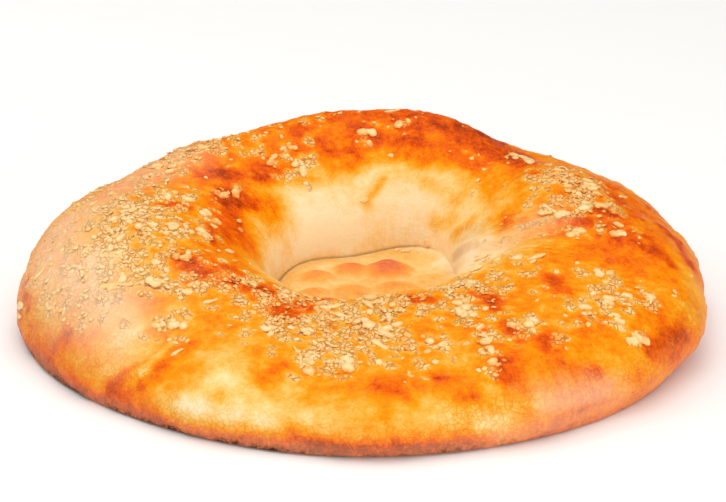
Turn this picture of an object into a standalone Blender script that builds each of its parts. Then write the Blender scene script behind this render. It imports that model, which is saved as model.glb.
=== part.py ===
"""Garlic tandoor flatbread, as a Blender model in metres with +Z up.

A round wheat loaf that was baked on the wall of a tandoor. It has a tall puffed rim, a steep hollow in its
middle whose floor was pressed with a pin stamp before baking, a flat scorched base, and chopped garlic that
was baked onto it. Its front, where the rim is lowest, faces -Y, and its base rests on the plane z = 0.
"""

import math

import bmesh
import bpy
import numpy as np
from mathutils import Matrix, Vector

# Driving dimensions of the loaf.
BREAD_RADIUS = 0.120
RIM_HEIGHT = 0.053
FLOOR_RADIUS = 0.033
FLOOR_HEIGHT = 0.0105

# A loaf shaped by hand is uneven. These shares of the driving dimensions are read at the twelve hours of a
# clock face that starts at +X and runs by way of +Y, the back.
OUTLINE_SHARE = (1.000, 1.005, 0.975, 0.960, 0.960, 0.985, 1.008, 1.008, 1.005, 1.040, 1.035, 1.033)
RIM_SHARE = (0.77, 0.84, 0.93, 1.00, 0.93, 0.85, 0.78, 0.68, 0.52, 0.46, 0.55, 0.64)
CREST_SHARE = (0.62, 0.62, 0.63, 0.63, 0.62, 0.61, 0.61, 0.59, 0.56, 0.54, 0.55, 0.60)
CREASE_SHARE = (1.00, 1.09, 1.19, 1.02, 1.00, 1.00, 0.97, 0.97, 0.97, 0.97, 0.97, 0.97)
CREASE_HEIGHT_SHARE = (0.23, 0.24, 0.24, 0.18, 0.18, 0.15, 0.13, 0.15, 0.16, 0.17, 0.18, 0.21)
BELLY_SHARE = (0.25, 0.23, 0.23, 0.23, 0.23, 0.21, 0.20, 0.13, 0.11, 0.11, 0.15, 0.22)
TUCK_SHARE = (0.082, 0.045, 0.035, 0.035, 0.035, 0.025, 0.008, 0.004, 0.004, 0.008, 0.012, 0.050)
LIFT_SHARE = (0.038, 0.038, 0.038, 0.038, 0.038, 0.038, 0.028, 0.019, 0.015, 0.015, 0.015, 0.019)

# How full each stretch of the rim's section is. 0.55 makes a round arc, and less makes it leaner.
SHOULDER_PULL = (0.47, 0.45, 0.36, 0.33, 0.35, 0.42, 0.58, 0.55, 0.58, 0.58, 0.58, 0.58)
WALL_PULL = 0.50
WALL_LEAN = 0.002

# Stations along the section, from the middle of the floor, over the rim, to the middle of the base.
CENTRE, CREASE, CREST, BELLY, BASE_EDGE, BASE_FLAT, BASE_CENTRE = 0.0, 1.0, 2.0, 3.0, 4.0, 4.12, 5.0
RINGS_PER_STRETCH = (9, 9, 12, 3)
SEGMENTS = 72

# Uneven swellings of the rim: hour angle in degrees, station, reach and height.
SWELLS = (
    (43, 2.15, 0.020, -0.0042),
    (66, 1.95, 0.016, 0.0012),
    (134, 2.10, 0.013, 0.0008),
    (109, 2.05, 0.014, -0.0020),
    (200, 2.45, 0.020, 0.0010),
    (232, 2.50, 0.016, -0.0016),
    (262, 2.35, 0.018, 0.0010),
    (304, 2.30, 0.018, 0.0012),
    (344, 1.55, 0.010, -0.0030),
    (318, 1.62, 0.012, 0.0022),
    (256, 1.82, 0.014, 0.0032),
    (277, 1.86, 0.014, 0.0018),
)
SWELL_FADE_IN = 0.3
SWELL_FADE_OUT = 0.6

# Long soft waves that cross all over the rim: the direction and phase of each.
WAVE_HEIGHT = 0.0005
WAVE_LENGTH = 0.045
WAVES = (
    ((0.80, 0.60, 0.00), 4.2),
    ((-0.50, 0.81, 0.30), 2.0),
    ((0.94, -0.17, 0.30), 4.3),
)

# The lumps that the stamp's pins left standing on the floor: place in plan from the floor's middle, reach and
# height.
LUMP_FADE = 0.15
LUMPS = (
    (-0.0168, 0.0068, 0.0078, 0.0024),
    (-0.0045, 0.0138, 0.0080, 0.0027),
    (0.0092, 0.0128, 0.0105, 0.0040),
    (-0.0172, -0.0098, 0.0076, 0.0019),
    (-0.0045, -0.0078, 0.0084, 0.0019),
    (0.0122, -0.0062, 0.0100, 0.0024),
    (-0.0130, -0.0205, 0.0075, 0.0024),
    (-0.0025, -0.0218, 0.0075, 0.0022),
    (0.0030, 0.0022, 0.0050, 0.0010),
    (0.0232, 0.0035, 0.0070, 0.0014),
    (0.0110, -0.0205, 0.0075, 0.0020),
    (0.0230, -0.0115, 0.0065, 0.0016),
)

# Patches of chopped garlic: hour angle in degrees, station, reach round the loaf, reach along the section,
# and how many of the largest bits lie in it.
GARLIC_PATCHES = (
    (189, 2.09, 0.0120, 0.0060, 8),
    (176, 1.90, 0.0065, 0.0055, 4),
    (197, 1.91, 0.0060, 0.0050, 4),
    (198, 2.22, 0.0090, 0.0040, 3),
    (150, 2.08, 0.0160, 0.0060, 7),
    (210, 2.05, 0.0080, 0.0050, 5),
    (218, 2.22, 0.0010, 0.0010, 1),
    (214, 2.35, 0.0050, 0.0035, 2),
    (230, 2.39, 0.0050, 0.0040, 3),
    (120, 1.63, 0.0090, 0.0065, 7),
    (158, 1.64, 0.0070, 0.0035, 4),
    (183, 1.68, 0.0060, 0.0040, 3),
    (197, 1.75, 0.0050, 0.0050, 3),
    (87, 1.73, 0.0040, 0.0050, 3),
    (79, 1.87, 0.0060, 0.0050, 2),
    (40, 2.02, 0.0030, 0.0040, 2),
    (18, 1.99, 0.0080, 0.0080, 4),
    (11, 2.15, 0.0060, 0.0050, 3),
    (9, 1.96, 0.0060, 0.0060, 3),
    (359, 2.11, 0.0055, 0.0070, 5),
    (357, 1.86, 0.0045, 0.0060, 2),
    (345, 2.03, 0.0035, 0.0030, 2),
    (349, 2.23, 0.0055, 0.0050, 3),
    (330, 2.26, 0.0045, 0.0030, 3),
    (325, 1.81, 0.0030, 0.0110, 3),
    (319, 2.39, 0.0100, 0.0060, 8),
    (328, 2.48, 0.0060, 0.0040, 2),
    (319, 2.67, 0.0030, 0.0040, 2),
    (226, 2.13, 0.0030, 0.0030, 2),
    (232, 1.97, 0.0040, 0.0050, 2),
    (239, 2.03, 0.0045, 0.0035, 2),
    (247, 1.86, 0.0060, 0.0090, 4),
    (251, 2.19, 0.0050, 0.0030, 2),
    (257, 2.13, 0.0030, 0.0040, 2),
    (262, 1.97, 0.0040, 0.0050, 2),
    (273, 1.72, 0.0045, 0.0090, 3),
    (260, 2.37, 0.0030, 0.0070, 3),
    (266, 2.39, 0.0040, 0.0030, 2),
    (272, 2.11, 0.0055, 0.0060, 4),
    (278, 2.05, 0.0050, 0.0050, 2),
    (284, 2.32, 0.0040, 0.0040, 3),
    (302, 1.88, 0.0050, 0.0070, 2),
    (296, 2.13, 0.0055, 0.0045, 5),
    (295, 2.33, 0.0040, 0.0050, 3),
    (292, 2.49, 0.0030, 0.0070, 3),
    (302, 2.35, 0.0050, 0.0040, 3),
    (58, 2.55, 0.0150, 0.0090, 3),
    (106, 2.50, 0.0160, 0.0100, 3),
    (140, 2.62, 0.0120, 0.0090, 2),
)
BIT_LENGTH = (0.0028, 0.0050)
BIT_WIDTH_SHARE = (0.55, 0.85)
BIT_THICKNESS_SHARE = (0.30, 0.46)
BIT_ROUGHNESS = 0.20
BIT_SUNK = 0.38
GARLIC_SEED = 12

# The crust's golden brown and the pale cream of the garlic, in linear colour.
CRUST_COLOUR = (0.86, 0.34, 0.06)
CRUST_ROUGHNESS = 0.38
GARLIC_COLOUR = (0.95, 0.80, 0.46)
GARLIC_ROUGHNESS = 0.45


def around(shares, azimuth):
    """A smooth value at any azimuth that passes through the values given at even steps round the loaf."""
    waves = np.fft.rfft(shares) / len(shares)
    total = np.full_like(azimuth, waves[0].real)
    for turn in range(1, len(waves)):
        both_signs = 1.0 if 2 * turn == len(shares) else 2.0
        swing = waves[turn].real * np.cos(turn * azimuth) - waves[turn].imag * np.sin(turn * azimuth)
        total = total + both_signs * swing
    return total


def arc(start, start_pull, end_pull, end, share):
    """One coordinate of a cubic Bezier arc, at a share of its way."""
    rest = 1 - share
    return (
        rest**3 * start
        + 3 * rest**2 * share * start_pull
        + 3 * rest * share**2 * end_pull
        + share**3 * end
    )


def section(azimuth, station):
    """Radius and height of the loaf's section, before its swellings and lumps."""
    belly_r = BREAD_RADIUS * around(OUTLINE_SHARE, azimuth)
    belly_z = RIM_HEIGHT * around(BELLY_SHARE, azimuth)
    crest_r = BREAD_RADIUS * around(CREST_SHARE, azimuth)
    crest_z = RIM_HEIGHT * around(RIM_SHARE, azimuth)
    crease_r = FLOOR_RADIUS * around(CREASE_SHARE, azimuth)
    crease_z = RIM_HEIGHT * around(CREASE_HEIGHT_SHARE, azimuth)
    base_r = belly_r - BREAD_RADIUS * around(TUCK_SHARE, azimuth)
    base_z = RIM_HEIGHT * around(LIFT_SHARE, azimuth)
    pull = around(SHOULDER_PULL, azimuth)

    share = np.clip(station - CENTRE, 0, 1)
    floor_r = crease_r * share
    floor_z = FLOOR_HEIGHT + (crease_z - FLOOR_HEIGHT) * share**6

    share = np.clip(station - CREASE, 0, 1)
    span, rise = crest_r - crease_r, crest_z - crease_z
    wall_r = arc(crease_r, crease_r + WALL_LEAN, crest_r - WALL_PULL * span, crest_r, share)
    wall_z = arc(crease_z, crease_z + WALL_PULL * rise, crest_z, crest_z, share)

    share = np.clip(station - CREST, 0, 1)
    span, rise = belly_r - crest_r, crest_z - belly_z
    outer_r = arc(crest_r, crest_r + pull * span, belly_r, belly_r, share)
    outer_z = arc(crest_z, crest_z, belly_z + pull * rise, belly_z, share)

    share = np.clip(station - BELLY, 0, 1)
    edge_r = belly_r + (base_r - belly_r) * share**2
    edge_z = belly_z + (base_z - belly_z) * share

    share = np.clip(station - BASE_EDGE, 0, 1)
    base_rise = np.clip(1 - share / (BASE_FLAT - BASE_EDGE), 0, 1) ** 2
    stretches = [station <= CREASE, station <= CREST, station <= BELLY, station <= BASE_EDGE]
    radius = np.select(stretches, [floor_r, wall_r, outer_r, edge_r], base_r * (1 - share))
    height = np.select(stretches, [floor_z, wall_z, outer_z, edge_z], base_z * base_rise)
    return radius, height


def outline_middle():
    """The middle of the loaf's outline in plan, which becomes the origin."""
    azimuth = np.linspace(0, math.tau, 361)
    radius = BREAD_RADIUS * around(OUTLINE_SHARE, azimuth)
    x, y = radius * np.cos(azimuth), radius * np.sin(azimuth)
    return (x.min() + x.max()) / 2, (y.min() + y.max()) / 2


def plain_surface(azimuth, station):
    """Points of the section swept round the loaf."""
    radius, height = section(azimuth, station)
    middle_x, middle_y = outline_middle()
    x, y = radius * np.cos(azimuth) - middle_x, radius * np.sin(azimuth) - middle_y
    return np.stack([x, y, height], axis=-1)


def outward(azimuth, station):
    """Unit normals of the plain surface, from small steps each way."""
    step = 0.004
    off_poles = np.clip(station, 0.05, 4.90)
    along = plain_surface(azimuth, off_poles + step) - plain_surface(azimuth, off_poles - step)
    round_loaf = plain_surface(azimuth + step, off_poles) - plain_surface(azimuth - step, off_poles)
    normal = np.cross(along, round_loaf)
    return normal / np.linalg.norm(normal, axis=-1, keepdims=True)


def lumps(azimuth, station):
    """Height that the tallest lump nearby adds to the floor: a round cap that fades out towards the crease."""
    radius, _ = section(azimuth, station)
    x, y = radius * np.cos(azimuth), radius * np.sin(azimuth)
    tallest = np.zeros_like(radius)
    for lump_x, lump_y, reach, height in LUMPS:
        away = np.hypot(x - lump_x, y - lump_y) / reach
        tallest = np.maximum(tallest, height * np.clip(1 - away**2, 0, 1) ** 1.3)
    return tallest * np.clip((CREASE - station) / LUMP_FADE, 0, 1)


def relief(points, azimuth, station):
    """How far the rim swells out from its plain section: named swellings, and long soft waves."""
    total = np.zeros_like(azimuth)
    for hour_angle, at_station, reach, height in SWELLS:
        middle = plain_surface(np.radians(float(hour_angle)) * np.ones(1), at_station * np.ones(1))
        away = np.linalg.norm(points - middle, axis=-1) / reach
        total += height * np.exp(-(away**2))
    for direction, phase in WAVES:
        total += WAVE_HEIGHT * np.sin(math.tau / WAVE_LENGTH * (points @ np.array(direction)) + phase)
    fade_in = np.clip((station - CREASE) / SWELL_FADE_IN, 0, 1)
    fade_out = np.clip((BASE_EDGE - station) / SWELL_FADE_OUT, 0, 1)
    on_rim = fade_in * fade_out
    return total * on_rim


def bread_surface(azimuth, station):
    """Points of the finished loaf."""
    azimuth, station = np.broadcast_arrays(np.asarray(azimuth, float), np.asarray(station, float))
    points = plain_surface(azimuth, station)
    moved = points + outward(azimuth, station) * relief(points, azimuth, station)[..., None]
    moved[..., 2] += lumps(azimuth, station)
    return moved


def material(name, colour, roughness):
    """A Principled material of one colour."""
    made = bpy.data.materials.new(name)
    made.use_nodes = True
    shader = made.node_tree.nodes["Principled BSDF"]
    shader.inputs["Base Color"].default_value = (*colour, 1.0)
    shader.inputs["Roughness"].default_value = roughness
    shader.inputs["Metallic"].default_value = 0.0
    return made


def ring_stations():
    """The stations of the sphere's rings, from its top pole to its bottom pole."""
    stations = []
    for stretch, count in enumerate(RINGS_PER_STRETCH):
        stations.extend(stretch + n / count for n in range(count))
    halfway_in = (BASE_EDGE + BASE_FLAT) / 2
    return stations + [BASE_EDGE, halfway_in, BASE_FLAT, BASE_CENTRE]


def build_loaf(collection, crust):
    """A UV sphere whose rings are laid along the section, with one flat face as its base."""
    stations = np.array(ring_stations())
    bm = bmesh.new()
    bmesh.ops.create_uvsphere(bm, u_segments=SEGMENTS, v_segments=len(stations) - 1, radius=1.0)
    bm.verts.ensure_lookup_table()
    sphere = np.array([v.co for v in bm.verts])
    polar = np.arccos(np.clip(sphere[:, 2], -1, 1))
    ring = np.rint(polar / math.pi * (len(stations) - 1)).astype(int)
    azimuth = np.arctan2(sphere[:, 1], sphere[:, 0])
    for vert, place in zip(bm.verts, bread_surface(azimuth, stations[ring])):
        vert.co = Vector(place)
    bottom_pole = min(bm.verts, key=lambda vert: sphere[vert.index, 2])
    bmesh.ops.dissolve_verts(bm, verts=[bottom_pole])
    bmesh.ops.recalc_face_normals(bm, faces=bm.faces)
    mesh = bpy.data.meshes.new("flatbread")
    bm.to_mesh(mesh)
    bm.free()
    mesh.materials.append(crust)
    loaf = bpy.data.objects.new("flatbread", mesh)
    collection.objects.link(loaf)
    return loaf


def bit_places(rng):
    """Where the largest bits of garlic lie, patch by patch: azimuths and stations."""
    places = []
    for hour_angle, at_station, reach_round, reach_along, count in GARLIC_PATCHES:
        middle_r, _ = section(np.radians(float(hour_angle)) * np.ones(1), at_station * np.ones(1))
        for _ in range(count):
            angle, share = rng.uniform(0, math.tau), math.sqrt(rng.uniform(0, 1))
            azimuth = math.radians(hour_angle) + share * math.cos(angle) * reach_round / middle_r[0]
            station = at_station + share * math.sin(angle) * reach_along / (BREAD_RADIUS / 2)
            places.append((azimuth, station))
    return np.array(places)


def build_bit(name, frame, rng, collection, garlic):
    """One chopped bit of garlic: an uneven, flattened icosahedron, set into the crust."""
    length = rng.uniform(*BIT_LENGTH)
    width = length * rng.uniform(*BIT_WIDTH_SHARE)
    thickness = length * rng.uniform(*BIT_THICKNESS_SHARE)
    bm = bmesh.new()
    bmesh.ops.create_icosphere(bm, subdivisions=1, radius=0.5)
    for vert in bm.verts:
        vert.co *= 1 + rng.uniform(-BIT_ROUGHNESS, BIT_ROUGHNESS)
        vert.co = Vector((vert.co.x * length, vert.co.y * width, vert.co.z * thickness))
    turned = frame @ Matrix.Rotation(rng.uniform(0, math.tau), 4, "Z")
    raised = turned @ Matrix.Translation((0, 0, thickness * (0.5 - BIT_SUNK)))
    bmesh.ops.transform(bm, matrix=raised, verts=bm.verts)
    mesh = bpy.data.meshes.new(name)
    bm.to_mesh(mesh)
    bm.free()
    mesh.materials.append(garlic)
    bit = bpy.data.objects.new(name, mesh)
    collection.objects.link(bit)


def build_garlic(collection, garlic):
    """Every large bit, each as its own closed object, in the collection that is then joined to the loaf."""
    rng = np.random.default_rng(GARLIC_SEED)
    places = bit_places(rng)
    azimuth, station = places[:, 0], places[:, 1]
    points, normals = bread_surface(azimuth, station), outward(azimuth, station)
    for n, (point, normal) in enumerate(zip(points, normals)):
        frame = Vector(normal).to_track_quat("Z", "X").to_matrix().to_4x4()
        frame.translation = Vector(point)
        build_bit(f"bit_{n:03d}", frame, rng, collection, garlic)


def join_collection(target, collection):
    """Unites the collection's objects with the target in one Boolean, applies it and removes them."""
    union = target.modifiers.new("join_garlic", "BOOLEAN")
    union.operation = "UNION"
    union.solver = "EXACT"
    union.operand_type = "COLLECTION"
    union.collection = collection
    joined = target.evaluated_get(bpy.context.evaluated_depsgraph_get())
    mesh = bpy.data.meshes.new_from_object(joined)
    target.modifiers.remove(union)
    target.data = mesh
    for obj in list(collection.objects):
        bpy.data.objects.remove(obj)
    bpy.data.collections.remove(collection)


def main():
    """Clears the scene and builds the flatbread."""
    for obj in list(bpy.data.objects):
        bpy.data.objects.remove(obj)
    parts = bpy.data.collections.new("garlic_tandoor_flatbread")
    bits = bpy.data.collections.new("garlic_bits")
    for collection in (parts, bits):
        bpy.context.scene.collection.children.link(collection)
    loaf = build_loaf(parts, material("golden_crust", CRUST_COLOUR, CRUST_ROUGHNESS))
    build_garlic(bits, material("chopped_garlic", GARLIC_COLOUR, GARLIC_ROUGHNESS))
    join_collection(loaf, bits)
    loaf.data.shade_smooth()
    loaf.data.set_sharp_from_angle(angle=math.radians(40))


main()
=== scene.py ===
"""The finished look of a garlic tandoor flatbread: its baked crust, its garlic, and the table it lies on.

Everything is in metres with +Z up. The loaf rests on z = 0, and its front, where the rim is lowest, faces -Y.
"""

import math

import bpy
import numpy as np
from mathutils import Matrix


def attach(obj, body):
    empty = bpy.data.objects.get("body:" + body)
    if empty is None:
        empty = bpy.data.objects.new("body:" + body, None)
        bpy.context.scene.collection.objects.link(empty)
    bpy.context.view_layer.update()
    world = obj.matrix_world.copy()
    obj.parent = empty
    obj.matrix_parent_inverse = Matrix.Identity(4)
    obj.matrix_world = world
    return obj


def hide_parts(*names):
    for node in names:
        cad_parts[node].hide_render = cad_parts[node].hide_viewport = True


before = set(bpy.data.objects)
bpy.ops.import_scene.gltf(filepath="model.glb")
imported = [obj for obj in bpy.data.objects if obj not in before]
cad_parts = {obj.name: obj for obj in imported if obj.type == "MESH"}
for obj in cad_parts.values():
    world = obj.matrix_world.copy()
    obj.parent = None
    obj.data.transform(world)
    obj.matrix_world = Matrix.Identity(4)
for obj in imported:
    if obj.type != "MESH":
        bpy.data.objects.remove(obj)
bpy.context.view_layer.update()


# The loaf's form. White wheat dough that was pulled into a ring by hand, stamped in its
# middle with a pin stamp, and stuck to the wall of a tandoor. The numbers are those of the
# solid, so that the crust lies where it does.
BREAD_RADIUS = 0.120
RIM_HEIGHT = 0.053
FLOOR_RADIUS = 0.033
FLOOR_HEIGHT = 0.0105
OUTLINE_SHARE = (1.000, 1.005, 0.975, 0.960, 0.960, 0.985, 1.008, 1.008, 1.005, 1.040, 1.035, 1.033)
RIM_SHARE = (0.77, 0.84, 0.93, 1.00, 0.93, 0.85, 0.78, 0.68, 0.52, 0.46, 0.55, 0.64)
CREST_SHARE = (0.62, 0.62, 0.63, 0.63, 0.62, 0.61, 0.61, 0.59, 0.56, 0.54, 0.55, 0.60)
CREASE_SHARE = (1.00, 1.09, 1.19, 1.02, 1.00, 1.00, 0.97, 0.97, 0.97, 0.97, 0.97, 0.97)
CREASE_HEIGHT_SHARE = (0.23, 0.24, 0.24, 0.18, 0.18, 0.15, 0.13, 0.15, 0.16, 0.17, 0.18, 0.21)
BELLY_SHARE = (0.25, 0.23, 0.23, 0.23, 0.23, 0.21, 0.20, 0.13, 0.11, 0.11, 0.15, 0.22)
TUCK_SHARE = (0.082, 0.045, 0.035, 0.035, 0.035, 0.025, 0.008, 0.004, 0.004, 0.008, 0.012, 0.050)
LIFT_SHARE = (0.038, 0.038, 0.038, 0.038, 0.038, 0.038, 0.028, 0.019, 0.015, 0.015, 0.015, 0.019)
SHOULDER_PULL = (0.47, 0.45, 0.36, 0.33, 0.35, 0.42, 0.58, 0.55, 0.58, 0.58, 0.58, 0.58)
WALL_PULL = 0.50
WALL_LEAN = 0.002
# The stations of the section, from the floor's middle over the crest to the base's middle.
CENTRE, CREASE, CREST, BELLY, BASE_EDGE, BASE_FLAT, BASE_CENTRE = 0.0, 1.0, 2.0, 3.0, 4.0, 4.12, 5.0
# Swellings of the rim: hour angle, station, reach and height of each.
SWELLS = (
    (43, 2.15, 0.020, -0.0042),
    (66, 1.95, 0.016, 0.0012),
    (134, 2.10, 0.013, 0.0008),
    (109, 2.05, 0.014, -0.0020),
    (200, 2.45, 0.020, 0.0010),
    (232, 2.50, 0.016, -0.0016),
    (262, 2.35, 0.018, 0.0010),
    (304, 2.30, 0.018, 0.0012),
    (344, 1.55, 0.010, -0.0030),
    (318, 1.62, 0.012, 0.0022),
    (256, 1.82, 0.014, 0.0032),
    (277, 1.86, 0.014, 0.0018),
)
SWELL_FADE_IN = 0.3
SWELL_FADE_OUT = 0.6
WAVE_HEIGHT = 0.0005
WAVE_LENGTH = 0.045
# Long waves: the direction and the phase of each.
WAVES = (
    ((0.80, 0.60, 0.00), 4.2),
    ((-0.50, 0.81, 0.30), 2.0),
    ((0.94, -0.17, 0.30), 4.3),
)
LUMP_FADE = 0.15
STEP = 0.004
OFF_POLES = (0.05, 4.90)
# Lumps of the stamped floor: x, y, reach, top, and how much browner each is.
LUMPS = (
    (-0.0168, 0.0068, 0.0078, 0.0024, 0.32),
    (-0.0045, 0.0138, 0.0080, 0.0027, 0.42),
    (0.0092, 0.0128, 0.0105, 0.0040, 0.62),
    (-0.0172, -0.0098, 0.0076, 0.0019, 0.25),
    (-0.0045, -0.0078, 0.0084, 0.0019, 0.22),
    (0.0122, -0.0062, 0.0100, 0.0024, 0.28),
    (-0.0130, -0.0205, 0.0075, 0.0024, 0.60),
    (-0.0025, -0.0218, 0.0075, 0.0022, 0.55),
    (0.0030, 0.0022, 0.0050, 0.0010, 0.10),
    (0.0232, 0.0035, 0.0070, 0.0014, 0.12),
    (0.0110, -0.0205, 0.0075, 0.0020, 0.30),
    (0.0230, -0.0115, 0.0065, 0.0016, 0.30),
)


def around(shares, azimuth):
    """A smooth value at any azimuth: the Fourier series through twelve values at even steps
    round the loaf."""
    waves = np.fft.rfft(shares) / len(shares)
    total = np.full_like(azimuth, waves[0].real)
    for turn in range(1, len(waves)):
        both_signs = 1.0 if 2 * turn == len(shares) else 2.0
        swing = waves[turn].real * np.cos(turn * azimuth) - waves[turn].imag * np.sin(turn * azimuth)
        total = total + both_signs * swing
    return total


def arc(start, start_pull, end_pull, end, share):
    """One coordinate of a cubic Bezier arc, at a share of its way."""
    rest = 1 - share
    return (
        rest**3 * start
        + 3 * rest**2 * share * start_pull
        + 3 * rest * share**2 * end_pull
        + share**3 * end
    )


def section(azimuth, station):
    """Radius and height of the loaf's section. Floor: height rises with the sixth power of the radius. Wall
    and outside: one cubic arc each. Edge: radius shrinks with the square of the way down. Base: flat."""
    belly_r = BREAD_RADIUS * around(OUTLINE_SHARE, azimuth)
    belly_z = RIM_HEIGHT * around(BELLY_SHARE, azimuth)
    crest_r = BREAD_RADIUS * around(CREST_SHARE, azimuth)
    crest_z = RIM_HEIGHT * around(RIM_SHARE, azimuth)
    crease_r = FLOOR_RADIUS * around(CREASE_SHARE, azimuth)
    crease_z = RIM_HEIGHT * around(CREASE_HEIGHT_SHARE, azimuth)
    base_r = belly_r - BREAD_RADIUS * around(TUCK_SHARE, azimuth)
    base_z = RIM_HEIGHT * around(LIFT_SHARE, azimuth)
    pull = around(SHOULDER_PULL, azimuth)

    share = np.clip(station - CENTRE, 0, 1)
    floor_r = crease_r * share
    floor_z = FLOOR_HEIGHT + (crease_z - FLOOR_HEIGHT) * share**6

    share = np.clip(station - CREASE, 0, 1)
    span, rise = crest_r - crease_r, crest_z - crease_z
    wall_r = arc(crease_r, crease_r + WALL_LEAN, crest_r - WALL_PULL * span, crest_r, share)
    wall_z = arc(crease_z, crease_z + WALL_PULL * rise, crest_z, crest_z, share)

    share = np.clip(station - CREST, 0, 1)
    span, rise = belly_r - crest_r, crest_z - belly_z
    outer_r = arc(crest_r, crest_r + pull * span, belly_r, belly_r, share)
    outer_z = arc(crest_z, crest_z, belly_z + pull * rise, belly_z, share)

    share = np.clip(station - BELLY, 0, 1)
    edge_r = belly_r + (base_r - belly_r) * share**2
    edge_z = belly_z + (base_z - belly_z) * share

    share = np.clip(station - BASE_EDGE, 0, 1)
    base_rise = np.clip(1 - share / (BASE_FLAT - BASE_EDGE), 0, 1) ** 2
    stretches = [station <= CREASE, station <= CREST, station <= BELLY, station <= BASE_EDGE]
    radius = np.select(stretches, [floor_r, wall_r, outer_r, edge_r], base_r * (1 - share))
    height = np.select(stretches, [floor_z, wall_z, outer_z, edge_z], base_z * base_rise)
    return radius, height


def outline_middle():
    """The middle of the loaf's outline in plan, which is the origin."""
    azimuth = np.linspace(0, math.tau, 361)
    radius = BREAD_RADIUS * around(OUTLINE_SHARE, azimuth)
    x, y = radius * np.cos(azimuth), radius * np.sin(azimuth)
    return (x.min() + x.max()) / 2, (y.min() + y.max()) / 2


MIDDLE_X, MIDDLE_Y = outline_middle()


def plain_surface(azimuth, station):
    """Points of the section swept round the loaf: radius times cosine and sine of the
    azimuth, and height."""
    radius, height = section(azimuth, station)
    x, y = radius * np.cos(azimuth) - MIDDLE_X, radius * np.sin(azimuth) - MIDDLE_Y
    return np.stack([x, y, height], axis=-1)


def outward(azimuth, station):
    """Unit normals: the cross product of a small step along the section and one round the loaf."""
    off_poles = np.clip(station, *OFF_POLES)
    along = plain_surface(azimuth, off_poles + STEP) - plain_surface(azimuth, off_poles - STEP)
    round_loaf = plain_surface(azimuth + STEP, off_poles) - plain_surface(azimuth - STEP, off_poles)
    normal = np.cross(along, round_loaf)
    return normal / np.linalg.norm(normal, axis=-1, keepdims=True)


def lumps(azimuth, station, tops):
    """The tallest of the floor's lumps at each place. A lump is its top, times one less the square
    of the distance over the lump's reach, to the power 1.3. All fade out towards the crease."""
    radius, _ = section(azimuth, station)
    x, y = radius * np.cos(azimuth), radius * np.sin(azimuth)
    tallest = np.zeros_like(radius)
    for (lump_x, lump_y, reach, _, _), top in zip(LUMPS, tops):
        away = np.hypot(x - lump_x, y - lump_y) / reach
        tallest = np.maximum(tallest, top * np.clip(1 - away**2, 0, 1) ** 1.3)
    return tallest * np.clip((CREASE - station) / LUMP_FADE, 0, 1)


SWELL_MIDDLES = plain_surface(np.radians([row[0] for row in SWELLS]), np.array([row[1] for row in SWELLS]))


def relief(points, azimuth, station):
    """Large swellings of the rim: a bell curve round each named place, plus long sine waves that cross."""
    total = np.zeros_like(azimuth)
    for middle, (_, _, reach, height) in zip(SWELL_MIDDLES, SWELLS):
        away = np.linalg.norm(points - middle, axis=-1) / reach
        total += height * np.exp(-(away**2))
    for direction, phase in WAVES:
        total += WAVE_HEIGHT * np.sin(math.tau / WAVE_LENGTH * (points @ np.array(direction)) + phase)
    fade_in = np.clip((station - CREASE) / SWELL_FADE_IN, 0, 1)
    fade_out = np.clip((BASE_EDGE - station) / SWELL_FADE_OUT, 0, 1)
    return total * fade_in * fade_out


def bread_surface(azimuth, station):
    """Points of the loaf as the solid has it: the plain surface, its swellings and its floor's lumps."""
    points = plain_surface(azimuth, station)
    moved = points + outward(azimuth, station) * relief(points, azimuth, station)[..., None]
    moved[..., 2] += lumps(azimuth, station, [row[3] for row in LUMPS])
    return moved


# The crust. The dough's skin dried, blistered and wrinkled in the oven's heat: small blisters
# stand on the rim, its skin is rough, and folds run down the right wall of the hollow, where
# the dough was pulled together. Each fold is its width, its height, and hour angle and
# station of the places on its path, by turns.
BLISTER_COUNT = 340
BLISTER_STATIONS = (1.62, 3.35)
BLISTER_REACH = (0.0018, 0.0060)
BLISTER_STEEPNESS = 0.05
BLISTER_SEED = 5
SKIN_ROUGHNESS = ((0.0110, 0.00015), (0.0045, 0.00010), (0.0024, 0.00005))
ROUGH_AT = ((0, 0.8), (0.9, 0.5), (1.1, 0.25), (1.5, 0.5), (1.9, 1.0), (3.9, 1.0), (4.0, 0.0))
BASE_FLAT_FROM = 3.9
SKIN_SEED = 11
FOLDS = (
    (0.0016, 0.0006, 215, 2.43, 214, 2.55, 212, 2.71),
    (0.0015, 0.0009, 233, 2.46, 233, 2.59, 232, 2.70, 229, 2.81),
    (0.0014, 0.0005, 226, 2.48, 224, 2.61),
    (0.0010, 0.0004, 303, 2.70, 302, 2.82, 300, 2.90),
    (0.0010, 0.0004, 306, 2.76, 306, 2.88, 305, 2.97),
    (0.0010, 0.0004, 310, 2.80, 311, 3.05),
    (0.0010, 0.0004, 316, 2.82, 316, 3.10),
    (0.0009, -0.0005, 298, 2.65, 298, 2.75, 298, 2.84),
    (0.0018, -0.0007, 20, 1.06, -9, 1.37, -16, 1.71, -16, 1.96),
    (0.0018, 0.0010, 22, 1.10, -6, 1.45, -12, 1.75, -8, 2.08),
    (0.0017, -0.0006, 24, 1.16, 2, 1.46, -4, 1.74, -4, 1.92),
    (0.0018, 0.0008, 34, 1.24, 15, 1.41, 5, 1.62),
)
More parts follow.
